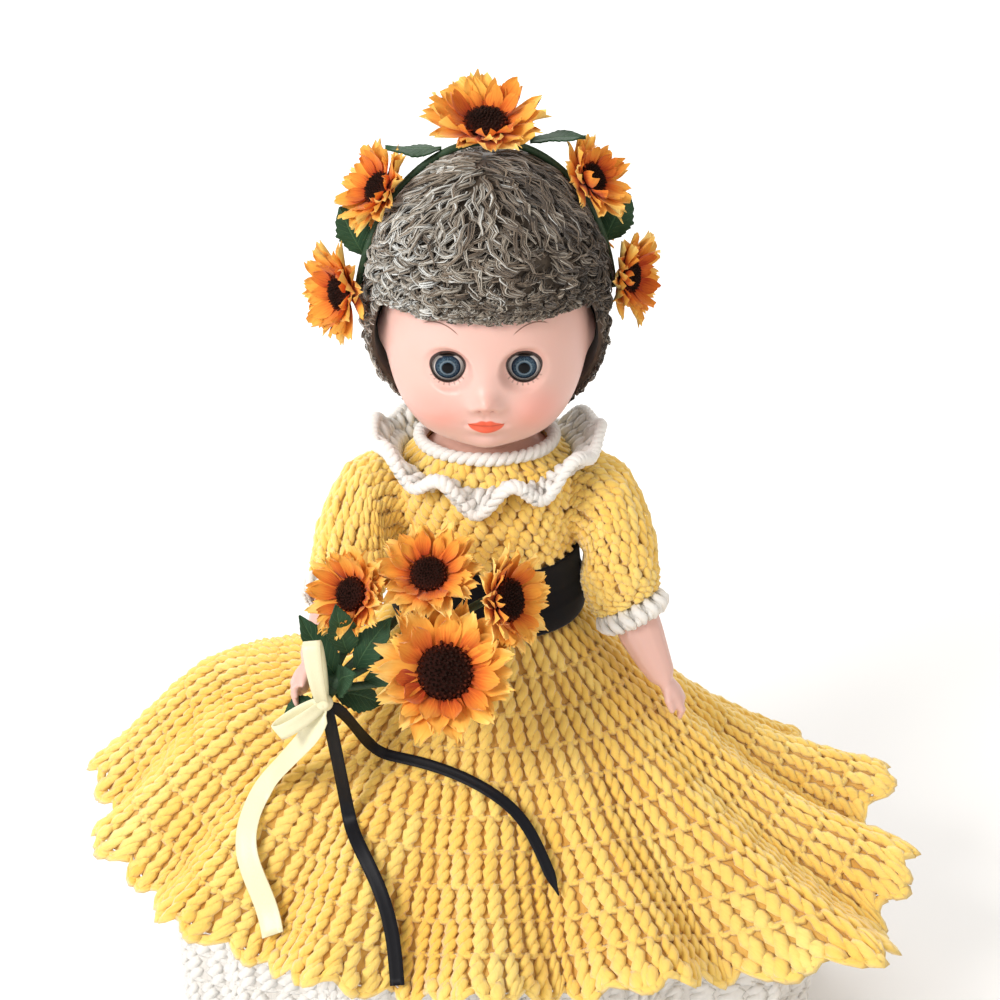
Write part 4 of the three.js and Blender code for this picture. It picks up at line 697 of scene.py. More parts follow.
def sleeve_ring(side, share):
    """The middle, direction and radius of the sleeve at a share of its length."""
    spots = np.linspace(0, 1, len(sleeve_shares))
    out, ahead, down, tilt, size = (np.interp(share, spots, sleeve_shares[:, k]) for k in range(5))
    middle = np.stack([side * (sleeve_start + out * arm_reach), -ahead * arm_reach, -down * arm_reach], -1)
    t = np.radians(tilt)
    way = np.stack([side * np.cos(t), -sleeve_lean[0] * np.sin(t), -sleeve_lean[1] * np.sin(t)], -1)
    return middle, unit(way), size * sleeve_puff


def round_the_arm(side, middle, way, radius, turn):
    """A point round the sleeve, taken from the shoulder's own axes to the doll's."""
    across = unit(np.cross(way, np.array([0.0, 1.0, 0.0])))
    above = np.cross(way, across)
    spot = middle + radius[..., None] * (across * np.cos(turn)[..., None] + above * np.sin(turn)[..., None])
    x, y, z = np.moveaxis(spot, -1, 0)
    raised = -math.radians(right_arm_raise) if side < 0 else 0
    c, s = math.cos(raised), math.sin(raised)
    return np.stack([x, y * c - z * s, y * s + z * c + shoulder_height], -1)


def sleeve_surface(side):
    def surface(turn, share, lift):
        middle, way, radius = sleeve_ring(side, share)
        return round_the_arm(side, middle, way, radius + lift, turn)

    return surface


def cuff_surface(side):
    def surface(turn, share, lift):
        middle, way, radius = sleeve_ring(side, np.ones_like(share))
        middle = middle + way * (0.3 + share[..., None] * cuff_length)
        swell = np.interp(share, [0, 0.35, 0.75, 1], [0.9, 1, 1, 0.88]) * cuff_radius
        return round_the_arm(side, middle, way, swell + lift, turn)

    return surface


cuff_stitch = twisted_stitch(8.0, 0.45, 1.8, -0.9, rings=5, sides=6, loop=0, lead=0.4)
for label, side in [("left", 1), ("right", -1)]:
    arm, surface, around = f"{label}_arm", sleeve_surface(side), cuff_surface(side)
    rounds = []
    for row in range(sleeve_rounds):
        start, end = (0.02 + 0.96 * edge / sleeve_rounds for edge in (row, row + 1))
        size = sleeve_ring(side, np.array((start + end) / 2))[2]
        cells = ring_cells(round(2 * math.pi * float(size) / short_width), start, end + 0.02, 0.5 * (row % 2))
        rounds.append(stamp(short_stitch, surface, cells, 1.4))
    yellow_sleeve, white_cuff = (yellow_yarn, arm, "yarn_yellow"), (white_yarn, arm, "yarn_white")
    sleeve = fabric(f"{label}_sleeve_stitches", rounds, *yellow_sleeve)
    wall = shell(surface, 48, np.linspace(0, 1, 24), -2.1, -3.3)
    # The backing takes the yarn's deep colour: painted shade between the stitches.
    make_piece(f"{label}_sleeve_backing", wall, *yellow_sleeve, f"{label}_sleeve", depth=0.15, tint=0)
    cuff = [stamp(cuff_stitch, around, ring_cells(15, 0.02, 0.98), 1.2)]
    fabric(f"{label}_cuff_stitches", cuff, *white_cuff, f"{label}_cuff")
    lining = shell(around, 48, np.linspace(0.06, 0.94, 6), -2.0, -4.0)
    # The lining is painted toward the white yarn's deep colour, as shade inside the cuff.
    make_piece(f"{label}_cuff_lining", lining, *white_cuff, depth=0.35, tint=0)

# Collar. A white neck band of two twisted strands sits on the bodice's top edge. Below it a white
# crocheted ruffle is sewn round the yoke: it waves in front and stands up over the shoulders.
band_half, band_height, band_twists = (28.4, 24.2), 275.8, 23
ruffle_height, ruffle_seat, ruffle_reach = 265, (37.6, 30.1), (48.2, 39.2)
ruffle_waves, ruffle_turn, ruffle_twists = 10, math.radians(12.6), 64


def hoop(path, radii, sides):
    """A ring of yarn: a closed tube whose end meets its start."""
    ahead = unit(np.roll(path, -1, 0) - np.roll(path, 1, 0))
    rings = rings_round(path, ahead, (0, 0, 1), radii[:, None], sides)
    quads, corners = grid_faces(len(path), sides, True, True)
    return rings.reshape(-1, 3), quads, np.zeros((0, 3), int), corners * (1, length_of(path))


def with_depth(shape, depth, tint=0.1):
    return shape, np.full(len(shape[0]), depth), np.full(len(shape[0]), tint)


turn = np.linspace(0, 2 * math.pi, 420, endpoint=False)
round_neck = np.stack([band_half[0] * np.cos(turn), band_half[1] * np.sin(turn), 0 * turn + band_height], -1)
outward = unit(np.stack([np.cos(turn) / band_half[0], np.sin(turn) / band_half[1], 0 * turn], -1))
strands = []
for half in (0, math.pi):
    phase = (band_twists * turn + half)[:, None]
    path = round_neck + 1.25 * (outward * np.cos(phase) + np.array([0, 0, 1]) * np.sin(phase))
    strands.append(with_depth(hoop(path, 1.75 + 0.15 * np.sin(7 * turn), 8), 0.6))
fabric("collar_band_yarn", strands, *white_cloth, "collar_band")


def ruffle_middle(turn, share):
    front = np.sin(turn) ** 2
    rise = blend(14.5, -1.5, front) * share
    crest = np.cos(ruffle_waves * (turn + math.pi / 2 - ruffle_turn))
    wave = blend(2, 6.5, front) * np.maximum(share, 0) ** 1.3 * crest
    rx, ry = (blend(ruffle_seat[k], ruffle_reach[k], share) for k in (0, 1))
    return np.stack([rx * np.cos(turn), ry * np.sin(turn), ruffle_height + rise + wave], -1)


def ruffle_surface(turn, share, lift):
    return off_surface(ruffle_middle, turn, share, lift)


ruffle_stitch = twisted_stitch(5.6, 0.5, 1.9, 0.5, rings=5, sides=6, loop=0, lead=0.3)
both_sides = []
for row, count in [(0, 46), (1, 50)]:
    start, end = 0.04 + 0.46 * row, 0.56 + 0.46 * row
    both_sides.append(stamp(ruffle_stitch, ruffle_surface, ring_cells(count, start, end, 0.5 * row), 1.6))
turn = np.linspace(0, 2 * math.pi, 640, endpoint=False)
for half in (0, math.pi):
    phase = ruffle_twists * turn + half
    rope = ruffle_surface(turn, 0.98 + 0.05 * np.sin(phase), 1.1 * np.cos(phase))
    both_sides.append(with_depth(hoop(rope, 1.9 + 0.35 * np.sin(9 * turn), 7), 0.75))
ruffle_stitches = fabric("collar_ruffle_stitches", both_sides, *white_cloth)
ruffle_wall = shell(ruffle_surface, 240, np.linspace(0, 0.97, 7), 0.6, -0.9)
# The backing is painted a little toward the white yarn's deep colour, as shade behind the stitches.
make_piece("collar_ruffle_backing", ruffle_wall, *white_cloth, "collar_ruffle", depth=0.5, tint=0)

# Sash. A wide band of black velvet ribbon is wound once round the waist and tied in a bow behind,
# with two loops, a flat knot and two tails that hang over the skirt.
sash_bottom, sash_top, sash_thick = 194, 226.5, 1.4
bow_knot, bow_loop = np.array([0, 40.1, 210.25]), 34
# Short dense pile: nearly black face on, and a faint sheen at its edges.
velvet = Paint("black velvet")
pile = velvet.noise(2600.0)
pile_colour = velvet.mix(pile, (0.0024, 0.0024, 0.0036), (0.006, 0.006, 0.009))
pile_sheen = {"Specular_IOR_Level": 0.1, "Sheen_Weight": 0.12}
black_velvet = velvet.finish(pile_colour, 0.95, (pile, 0.3, 0.0002), **pile_sheen)
black_ribbon = (black_velvet, "dressed_body", "velvet_black")


def sash_face(turn, height, lift):
    """The bodice's form, with creases and rounded edges on the outside only."""
    edge = np.minimum(height - sash_bottom, sash_top - height)
    crease = 0.12 * np.sin(0.45 * height + 2 * np.sin(turn + 0.5)) - 0.45 * np.exp(-edge / 0.8)
    rx, ry = bodice_reach(height, lift + crease * (lift > 1))
    return np.stack([rx * np.cos(turn), ry * np.sin(turn), height + 0.5 * np.sin(2 * turn + 0.4)], -1)


sash_wall = shell(sash_face, 128, np.linspace(sash_bottom, sash_top, 40), 0.4 + sash_thick, 0.45)
sash_band = make_piece("sash_ribbon", sash_wall, *black_ribbon, "sash")


def tied_loop(knot, direction, lift, length, height, width, thick, pinch=0.45):
    """A loop of flat ribbon out of a knot and back, gathered where it goes in."""
    direction, lift = unit(np.array(direction, float)), unit(np.array(lift, float))
    turns = np.linspace(0.12, 2 * math.pi - 0.12, 40)
    rise = height / 2 * np.sin(turns) * (1 + 0.25 * np.sin(turns / 2))
    path = knot + np.outer(length / 2 * (1 - np.cos(turns)), direction) + np.outer(rise, lift)
    sides = np.tile(np.cross(direction, lift), (len(path), 1))
    narrow = pinch + (1 - pinch) * np.sin(turns / 2) ** 0.7
    return strap(path, sides, width * narrow, thick, 0.9 * np.cos(turns / 2) ** 2)


def globe(polar, columns):
    """The angles of a ball's points from its pole, in rings, and round it."""
    return np.meshgrid(polar, 2 * math.pi * np.arange(columns) / columns, indexing="ij")


def rounded_knot(centre, radius, squash):
    """The knot: a lump of ribbon with the creases of the turns that go over it."""
    polar, turn = globe(np.linspace(0.02, math.pi - 0.02, 20), 32)
    size = radius * (1 - 0.09 * np.abs(np.sin(3.5 * polar + 0.8 * np.sin(turn))) ** 6)
    flat = size * np.sin(polar)
    lump = np.stack([flat * np.cos(turn), size * np.cos(polar) * squash, flat * np.sin(turn)], -1)
    ends = np.array([[0, radius * squash, 0], [0, -radius * squash, 0]])
    return capped(lump + centre, ends + centre, (8, 8))


bow_parts = [rounded_knot(bow_knot, 6.6, 0.7)]
for side in (1, -1):
    bow_parts.append(tied_loop(bow_knot, (side, 0.2, 0.12), (0, 1, 0), bow_loop, 9, 20, 1.1, 0.4))
    spots = []
    for spot, share in smooth_line([(82, 0.1), (70, 0.2), (56, 0.3), (44, 0.38), (33, 0.44)], 9):
        spots.append(skirt_surface(math.radians(spot if side > 0 else 180 - spot), share, 7.2))
    route = smooth_line([bow_knot, *spots], 40, 8)
    outward = np.stack([route[:, 0], route[:, 1] * 1.4, np.full(len(route), 80.0)], -1)
    across = np.cross(np.gradient(route, axis=0), outward)
    bow_parts.append(strap(route, across, np.linspace(6, 11, len(route)), 1.1, 0.5))
sash_bow = make_piece("sash_bow_ribbon", joined(bow_parts), *black_ribbon, "sash_bow")

# Buttons. Two small pearl buttons close the bodice's back slit. Each is a moulded disc with a rolled
# rim round a dished middle and two thread holes.
button_radius, button_thick = 4, 2
button_places = [("lower", 240.6, 35.1), ("upper", 256.7, 34.4)]
upright = (-math.pi / 2, 0, 0)


def mottled(name, scale, low, high, rough, detail=2.0, **values):
    """A finish whose colour drifts between two."""
    paint = Paint(name)
    return paint.finish(paint.mix(paint.noise(scale, detail), low, high), rough, **values)


pearl = mottled("pearl", 900.0, (0.78, 0.72, 0.62), (0.95, 0.92, 0.88), 0.2, Coat_Weight=0.6)
for label, height, back in button_places:
    bpy.ops.object.select_all(action="DESELECT")
    size = {"radius": button_radius * mm, "depth": button_thick * mm}
    cylinder(vertices=48, location=placed((0, back, height)), rotation=upright, **size)
    button = bpy.context.object
    button.name = f"back_button_{label}_pearl"
    bpy.ops.object.mode_set(mode="EDIT")
    bpy.ops.mesh.select_all(action="DESELECT")
    bpy.ops.object.mode_set(mode="OBJECT")
    for face in button.data.polygons:
        face.select = len(face.vertices) > 4 and face.center.z > 0
    bpy.ops.object.mode_set(mode="EDIT")
    bpy.ops.mesh.select_mode(type="FACE")
    bpy.ops.mesh.inset(thickness=0.7 * mm)
    bpy.ops.mesh.inset(thickness=0.5 * mm, depth=-0.5 * mm)
    bpy.ops.object.mode_set(mode="OBJECT")
    for side in (1, -1):
        hole = {"vertices": 16, "radius": 0.4, "depth": 6, "rotation": upright}
        carve(button, cylinder, (side * 0.9, back, height), **hole)
    worked(button, "BEVEL", width=0.25 * mm, segments=3, limit_method="ANGLE")
    hold(button)
    bpy.ops.object.transform_apply(location=True, rotation=True, scale=True)
    button.data.materials.clear()
    button.data.materials.append(pearl)
    bpy.ops.object.shade_smooth_by_angle(angle=math.radians(40))
    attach(button, "dressed_body")
    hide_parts(f"back_button_{label}")

# Head. A hollow soft vinyl head with a small nose, full cheeks and chin, ears, and two round eye
# openings. Brows, lips, blush and the rims of the eyes are sprayed and painted on; the rims are
# thicker at the top, partly as painted shade under the lids. The cut walls of the eye openings, the
# sockets and the neck hollow are near black: partly the painted rim, partly painted shade.
head_middle, head_half = 327.6, 42
head_front, head_back, head_up, head_down = 44, 48, 63, 48
eye_place, eye_opening, lid_radius = np.array([15, -28.578, 322.8]), (6.4, 6.1), 10.9
socket_radius, neck_radius, neck_hollow, neck_deep = 9.7, 15.5, 279.6, 30
# Each bump of the face: where it is, how far it stands out, and its width and height, as shares of the
# head. The large ones are the nose, chin, cheeks and eye sockets, and the fine ones nostrils and lips.
face_bumps = [
    (0, -0.345, 0.165, 0.125, 0.095), (0, -0.18, 0.045, 0.13, 0.18),
    (0, -0.625, 0.06, 0.18, 0.075), (0, -0.84, 0.1, 0.2, 0.11),
    (0.46, -0.5, 0.06, 0.24, 0.2), (-0.46, -0.5, 0.06, 0.24, 0.2),
    (0.357, -0.1, -0.06, 0.17, 0.13), (-0.357, -0.1, -0.06, 0.17, 0.13),
    (0.12, -0.4, 0.045, 0.05, 0.05), (-0.12, -0.4, 0.045, 0.05, 0.05),
    (0.06, -0.43, -0.035, 0.024, 0.022), (-0.06, -0.43, -0.035, 0.024, 0.022),
    (0, -0.5, -0.014, 0.022, 0.05), (0, -0.6, -0.022, 0.15, 0.012),
    (0.05, -0.565, 0.014, 0.045, 0.02), (-0.05, -0.565, 0.014, 0.045, 0.02),
    (0, -0.645, 0.02, 0.09, 0.03), (0, -0.72, -0.014, 0.12, 0.03),
    (0.19, -0.59, -0.014, 0.03, 0.03), (-0.19, -0.59, -0.014, 0.03, 0.03),
]


def bell(*parts):
    return np.exp(-sum(part**2 for part in parts))


def head_point(around, rise, grow):
    s, forward = np.sin(rise), np.cos(around)
    power = np.where(s < 0, 2 + 0.8 * np.maximum(0, forward), 2)
    girth = np.maximum(1 - np.abs(s) ** power, 0) ** (1 / power)
    depth = np.where(forward > 0, head_front, head_back) + grow
    tall = np.where(s > 0, head_up, head_down) + grow
    jaw = np.where(s < 0, 2 + 1.5 * np.maximum(0, forward), 2)
    x = (head_half + grow) * np.sin(around) * np.maximum(1 - np.abs(s) ** jaw, 0) ** (1 / jaw)
    return np.stack([x, -depth * forward * girth, head_middle + tall * s], -1)


def face_point(around, rise):
    """The head's skin, with the face's bumps, lids that hug the eyes, and the ears."""
    p = head_point(around, rise, 0.0)
    x, z = p[..., 0] / head_half, (p[..., 2] - head_middle) / head_down
    front = np.where(p[..., 1] < 0, np.minimum(1, -p[..., 1] / (head_front * 0.4)), 0)
    push = np.zeros_like(x)
    for across, up, out, wide, tall in face_bumps:
        push += out * head_half * bell((x - across) / wide, (z - up) / tall)
    eyes = []
    for side in (1, -1):
        dx, dz = p[..., 0] - side * eye_place[0], p[..., 2] - eye_place[2]
        ring = np.hypot(dx / eye_opening[0], dz / eye_opening[1])
        push += 0.35 * bell((ring - 1.5) / 0.3) * (dz > 0)
        ball = np.sqrt(np.maximum(lid_radius**2 - dx**2 - dz**2, 0))
        eyes.append((ring, eye_place[1] - ball - 0.3 * bell((ring - 1.12) / 0.14)))
    p[..., 1] -= push * front
    for ring, lid in eyes:
        hug = (1 - soft_step(0.95, 1.65, ring)) * (p[..., 1] < eye_place[1])
        p[..., 1] = blend(p[..., 1], np.maximum(lid, p[..., 1]), hug)
    back = (p[..., 1] / head_half - 0.05) / 0.14
    ear = bell(back, (z + 0.1) / 0.16) * (1 - 0.45 * bell(back / 0.45, (z + 0.1) / 0.085))
    p[..., 0] += np.sign(p[..., 0]) * 0.1 * head_half * ear * soft_step(0.5, 0.9, np.abs(x))
    return p


def face_paint(paint):
    """What is sprayed and printed on the face, with painted shade in the liner's thicker top. The map holds
    its own width and height in decimetres.
    """
    x, z = (part * 100 for part in paint.parts(paint.along())[:2])
    u = x.size()
    brow = (z - ((u - 18.9).turn("POWER", 2) * -0.056 + 342)).size()
    brow = brow.ramp(0.42, 0.12) * u.ramp(10.2, 12) * u.ramp(24.8, 22.5) * 0.9
    body = (x * (1 / 7.3)).turn("POWER", 2) * -1 + 1
    top = body * 1.5 + 299.8 + (u - 1.9).size().ramp(2.4, 0) * 0.55
    bottom = body.turn("MAXIMUM", 0).turn("SQRT") * -3.7 + 299.9
    lips = (top - z).turn("MINIMUM", z - bottom).ramp(-0.25, 0.45) * body.ramp(0, 0.06)
    crease = (z - (body * -0.35 + 299.8)).size().ramp(0.32, 0.05) * body.ramp(-0.1, 0.1) * 0.75
    dx, dz = (u - 15) * (1 / 6.4), (z - 322.8) * (1 / 6.1)
    ring = dx.far(dz)
    rays = (dz.turn("ARCTAN2", dx) * 22).turn("SINE").ramp(0.3, 0.8)
    return {
        "cheek": ((u - 20).far(z - 304).ramp(15, 2) * 0.5, (0.86, 0.3, 0.24)),
        "nose tip": (u.far(z - 311).ramp(7, 0) * 0.25, (0.9, 0.36, 0.27)),
        "brow": (brow, (0.16, 0.055, 0.03)),
        "lips": (lips, (0.72, 0.11, 0.05)),
        "mouth": (crease, (0.3, 0.03, 0.02)),
        "nostril": ((u - 2.5).far((z - 306.9) * 1.5).ramp(1.15, 0.3) * 0.7, (0.35, 0.07, 0.05)),
        "lid": (ring.ramp(1.7, 1.1) * dz.ramp(0, 0.8) * 0.35, (0.55, 0.2, 0.14)),
        # Dark liner round the opening, thicker at the top: painted liner and painted shade under the upper
        # lid.
        "liner_and_lid_shade": ((ring - dz.ramp(-0.6, 0.7) * 0.15).ramp(1.08, 1.02), (0.03, 0.012, 0.01)),
        "lower lashes": (rays * dz.ramp(-0.35, -0.6) * ring.ramp(1.28, 1.2) * 0.45, (0.12, 0.05, 0.03)),
    }.values()


def vinyl(name, painted):
    """Soft doll vinyl: warm pink skin with a satin face, a little light going in, and blushed parts."""
    paint = Paint(name)
    skin = paint.mix(paint.noise(22.0), (0.72, 0.42, 0.35), (0.8, 0.53, 0.48))
    skin = paint.over(skin, face_paint(paint) if painted else [])
    glow = {"Subsurface_Weight": 0.12, "Subsurface_Radius": (1.0, 0.4, 0.25), "Subsurface_Scale": 0.003}
    return paint.finish(skin, 0.42, (paint.noise(1400.0, 1.0), 0.06, 0.0001), **glow)


head_columns, head_rows = 210, 150
t = 2 * np.arange(head_columns) / head_columns - 1
turns = math.pi * (0.45 * t + 0.55 * t * np.abs(t))
skin = face_point(*np.meshgrid(turns, np.linspace(-0.992, 0.992, head_rows) * math.pi / 2))
skull, quads, caps, _ = capped(skin, skin[[0, -1]].mean(1))
flat_map = np.concatenate([skull[quads.ravel()], skull[caps.ravel()]])
flat_map = np.stack([flat_map[:, 0], np.where(flat_map[:, 1] < 0, flat_map[:, 2], 0)], -1) / 100
head_shape = (skull, quads, caps, flat_map)
head = make_piece("head_vinyl", head_shape, vinyl("face vinyl", True), "head", "skin", "head")
# Near-black walls of the cut openings, sockets and neck hollow: partly the painted rim, partly painted shade.
rim_and_hollow_shade = mottled("rim and hollow shade", 800.0, (0.02, 0.008, 0.006), (0.05, 0.02, 0.014), 0.6)
for side in (1, -1):
    middle = eye_place * (side, 1, 1)
    carve(head, sphere, middle, edge=rim_and_hollow_shade, radius=socket_radius, segments=64, ring_count=32)
    opening = {"radius": 1, "depth": 16, "vertices": 64, "rotation": (math.pi / 2, 0, 0)}
    carve(head, cylinder, middle - (0, 10, 0), (*eye_opening, 1), rim_and_hollow_shade, **opening)
neck = {"radius": neck_radius, "depth": neck_deep, "vertices": 96}
carve(head, cylinder, (0, 0, neck_hollow), edge=rim_and_hollow_shade, **neck)

# Sleep eyes. Each is an acrylic ball on two pins, with a printed blue iris under the gloss and a
# strip of stiff black lashes along the lid. A lead weight behind it, in the case, closes it.
eye_radius, iris_radius, pupil_radius, iris_lift = 9, 5.35, 2.3, math.radians(-3)
lash_count, lash_radius = 30, 9.2


def eye_gloss():
    """A white ball with the iris printed round its front pole. Its map runs round and out. Above the
    lashes it is painted as a lid, which comes down when the eye sleeps. Between the lashes and the lid
    a dark band is painted: partly liner, partly painted shade under the lid."""
    paint = Paint("eye acrylic")
    out = paint.parts(paint.along())[1]
    streak = paint.streaks(46, 1.2, scale=1.0, detail=3.0, rough=0.6)
    iris = paint.mix(streak.ramp(0.3, 0.7), (0.008, 0.02, 0.035), (0.07, 0.12, 0.17))
    up = paint.parts(paint.add("TexCoord", output="Object"))[2] * (1 / mm) - eye_place[2]
    layers = {
        "ring": ((out - (streak * 0.5 + pupil_radius + 0.4)).size().ramp(0.5, 0.1) * 0.3, (0.4, 0.5, 0.55)),
        "iris edge": (out.ramp(iris_radius - 1.3, iris_radius - 0.3) * 0.85, (0.01, 0.02, 0.045)),
        "pupil": (out.ramp(pupil_radius + 0.2, pupil_radius - 0.15), (0.003, 0.003, 0.004)),
        "white": (out.ramp(iris_radius - 0.1, iris_radius + 0.15), (0.82, 0.74, 0.7)),
        "lid": (up.ramp(4.5, 4.8), (0.76, 0.47, 0.41)),
        # Dark band above the lashes: partly liner, partly painted shade under the lid.
        "liner_and_lid_shade": (up.ramp(4.4, 4.7) * up.ramp(7, 5.8), (0.03, 0.012, 0.01)),
    }
    return paint.finish(paint.over(iris, layers.values()), 0.07, Specular_IOR_Level=0.14)


eye_acrylic = eye_gloss()
lash_fibre = mottled("lash fibre", 900.0, (0.005, 0.004, 0.004), (0.03, 0.02, 0.015), 0.6)
for label, side in [("left", 1), ("right", -1)]:
    middle, body = eye_place * (side, 1, 1), f"{label}_eye"
    rings = np.concatenate([np.linspace(0.03, 0.8, 26), np.linspace(0.85, math.pi - 0.05, 22)])
    polar, turn = globe(rings, 64)
    ball = np.stack([np.sin(polar) * np.cos(turn), -np.cos(polar), np.sin(polar) * np.sin(turn)], -1)
    tilt = np.array(Matrix.Rotation(-iris_lift, 3, "X")).T * eye_radius
    poles = np.array([[0, -1, 0], [0, 1, 0]]) @ tilt + middle
    ball, quads, caps, corners = capped(ball @ tilt + middle, poles, far=math.pi * eye_radius)
    row = corners[: quads.size, 1] * (len(rings) - 1)
    corners[: quads.size, 1] = np.interp(row, np.arange(len(rings)), rings * eye_radius)
    pins = [tube([middle + (s * 8.7, 0, 0), middle + (s * 10.4, 0, 0)], 1.0, 12) for s in (1, -1)]
    for pin in pins:
        pin[3][:] = (0, 20)
    shape = joined([(ball, quads, caps, corners), *pins])
    make_piece(f"{label}_eye_ball", shape, eye_acrylic, body, "eye_white", f"{label}_eyeball")

    lashes = []
    for spot in np.linspace(-36, 36, lash_count):
        a, lift = math.radians(spot), math.radians(31 - 0.05 * abs(spot))
        root = np.array([math.cos(lift) * math.sin(a), -math.cos(lift) * math.cos(a), math.sin(lift)])
        fan = np.array([math.sin(a * 1.3), -0.75, 0.35])
        fan = fan * (1.5 + 0.5 * abs(spot) / 36 + 0.15 * math.sin(spot * 7))
        foot = root * lash_radius
        path = [foot - root * 0.08, foot + fan * 0.3 + (0, 0, 0.02), foot + fan * 0.55 + (0, 0, 0.3)]
        lashes.append(tube(np.array(path) + middle, [0.13, 0.1, 0.03], 4, (0.1, 1, 0.3)))
    lid, lift = np.radians(np.linspace(-40, 40, 26)), math.radians(30.5)
    flat = math.cos(lift)
    edge = np.stack([np.sin(lid) * flat, -np.cos(lid) * flat, 0 * lid + math.sin(lift)], -1)
    lashes.append(tube(edge * lash_radius + middle, 0.4, 6))
    make_piece(f"{label}_lash_strip", joined(lashes), lash_fibre, body, "lash_black", f"{label}_lashes")

# Hair. Ash-grey mohair glued to a cap. It is painted lighter and silver on the doll's right, toward the
# lamp, and browner on her left: painted light and shade, over tones that also differ at random. On the
# dome it is combed out from the crown in pointed wavy tufts, and round the face it curls into soft
# bangs. Behind the cheeks it is short and brushed down.
hair_top, hair_front, hair_back = (math.radians(angle) for angle in (88, 15, -60))
hair_rng = np.random.default_rng(21)


def hair_line(around):
    """How high the hairline is, as an angle, and how far behind the cheek it is, from 0 to 1."""
    back = soft_step(62, 116, np.abs(np.degrees(around)))
    return blend(hair_front, hair_back, back), back


def hair_place(around, t, grow):
    """A point of the cap: t is 0 at the crown and 1 at the hairline, and grow is off the skull."""
    return head_point(around, blend(hair_top, hair_line(around)[0], t), grow)


def hair_depth(around, t):
    """How far the cap's outside stands off the skull."""
    return blend(7.0, 3.0 + 4.4 * np.sin(around) ** 2, soft_step(0.6, 1, t))


paint = Paint("mohair")
browns = [(0, (0.055, 0.036, 0.023)), (0.35, (0.24, 0.175, 0.12))]
greys = [(0.65, (0.51, 0.455, 0.375)), (1, (0.92, 0.93, 0.9))]
# Painted shade among the strands: darker at the roots and lighter toward the tips, with random patches.
light = paint.number("depth").between(0.35, 1.0) * paint.noise(60.0).turn("MULTIPLY_ADD", 0.5, 0.75)
light = paint.add("CombineXYZ", i0=light, i1=light, i2=light)
colour = paint.mix(1.0, paint.dyed(paint.number("tint"), *browns, *greys), light, "MULTIPLY")
on_head = (paint.finish(colour, 0.55, Specular_IOR_Level=0.35, Sheen_Weight=0.25), "head", "hair_grey")


def strand_shapes(paths, radii):
    """Many thin three-sided strands at once. Paths is strands by points by three."""
    count, steps = paths.shape[:2]
    ahead = unit(np.gradient(paths, axis=1))
    points = rings_round(paths, ahead, (0.31, 0.17, 0.94), radii[..., None], 3)
    quads, corners = grid_faces(steps, 3, False, True)
    caps = np.array([[2, 1, 0], [steps * 3 - 3, steps * 3 - 2, steps * 3 - 1]])
    shift = (np.arange(count) * steps * 3)[:, None, None]
    threes = (caps + shift).reshape(-1, 3)
    map_of = np.concatenate([np.tile(corners, (count, 1)), np.zeros((threes.size, 2))])
    return points.reshape(-1, 3), (quads + shift).reshape(-1, 4), threes, map_of


def lock_field(name, seeds, style, strands, steps):
    """Locks of hair rooted at the seeds. Each is a tuft of strands that meet towards its tip."""
    paths, radii, tones, heights = [], [], [], []
    s = np.linspace(0, 1, steps)
    centre = np.array([0, 3, head_middle])
    for around, t in seeds:
        long, curl, lift, spread, sweep = style(around, t)
        foot = float(hair_depth(around, t)) - 1.4
        root = hair_place(around, t, foot)
        down = unit(hair_place(around, t + 0.03, foot) - root)
        out = unit(hair_place(around, t, foot + 3) - root)
        side = np.cross(out, down)
        swirl = sweep + hair_rng.normal(0, 0.25) + 0.35 * math.sin(3.1 * around + 5 * t)
        bend = curl * hair_rng.choice([-1, 1]) * (0.7 + 0.6 * hair_rng.random())
        wave = hair_rng.uniform(0.5, 1.3) * hair_rng.choice([-1, 1])
        turn, pace = swirl + bend * s, long / (steps - 1)
        along = np.concatenate([[0], np.cumsum(np.cos(turn[:-1]) * pace)])
        sway = np.concatenate([[0], np.cumsum(np.sin(turn[:-1]) * pace)]) + wave * np.sin(2.6 * math.pi * s)
        rise = lift * np.sin(math.pi * (0.15 + 0.75 * s)) ** 0.8 * hair_rng.uniform(0.8, 1.15)
        middle = root + along[:, None] * down + sway[:, None] * side
        # The lock follows the skull's curve instead of running off it in a straight line.
        want = np.linalg.norm(root - centre) + rise
        middle = blend(middle, centre + unit(middle - centre) * want[:, None], 0.85)
        # Painted light: the strands are silver toward the lamp on the doll's right and browner on her left.
        lamp_side_silver = 0.45 - 0.34 * math.sin(around) * (1 if abs(around) < 1.6 else 0.6) + hair_rng.normal(0, 0.12)
        close = (1 - 0.85 * s**1.5)[:, None]
        for _ in range(strands):
            offset = hair_rng.normal(0, spread, 2)
            loose = hair_rng.normal(0, 0.17, (1, 3)) * np.sin(5 * s + hair_rng.uniform(0, 6))[:, None]
            path = middle + close * (offset[0] * side + offset[1] * down * 0.6) + loose
            paths.append(path + out * (hair_rng.normal(0, 0.5) * close))
            radii.append(hair_rng.uniform(0.24, 0.46) * (1.05 - 0.85 * s**2))
            tones.append(np.clip(lamp_side_silver + hair_rng.normal(0, 0.2), 0, 1))
            # How far along the strand each point is, for the painted shade at the roots.
            heights.append(np.clip(0.25 + 0.75 * s + hair_rng.normal(0, 0.08), 0, 1))
    shape = strand_shapes(np.array(paths), np.array(radii))
    make_piece(name, shape, *on_head, depth=np.repeat(heights, 3), tint=np.repeat(tones, steps * 3))


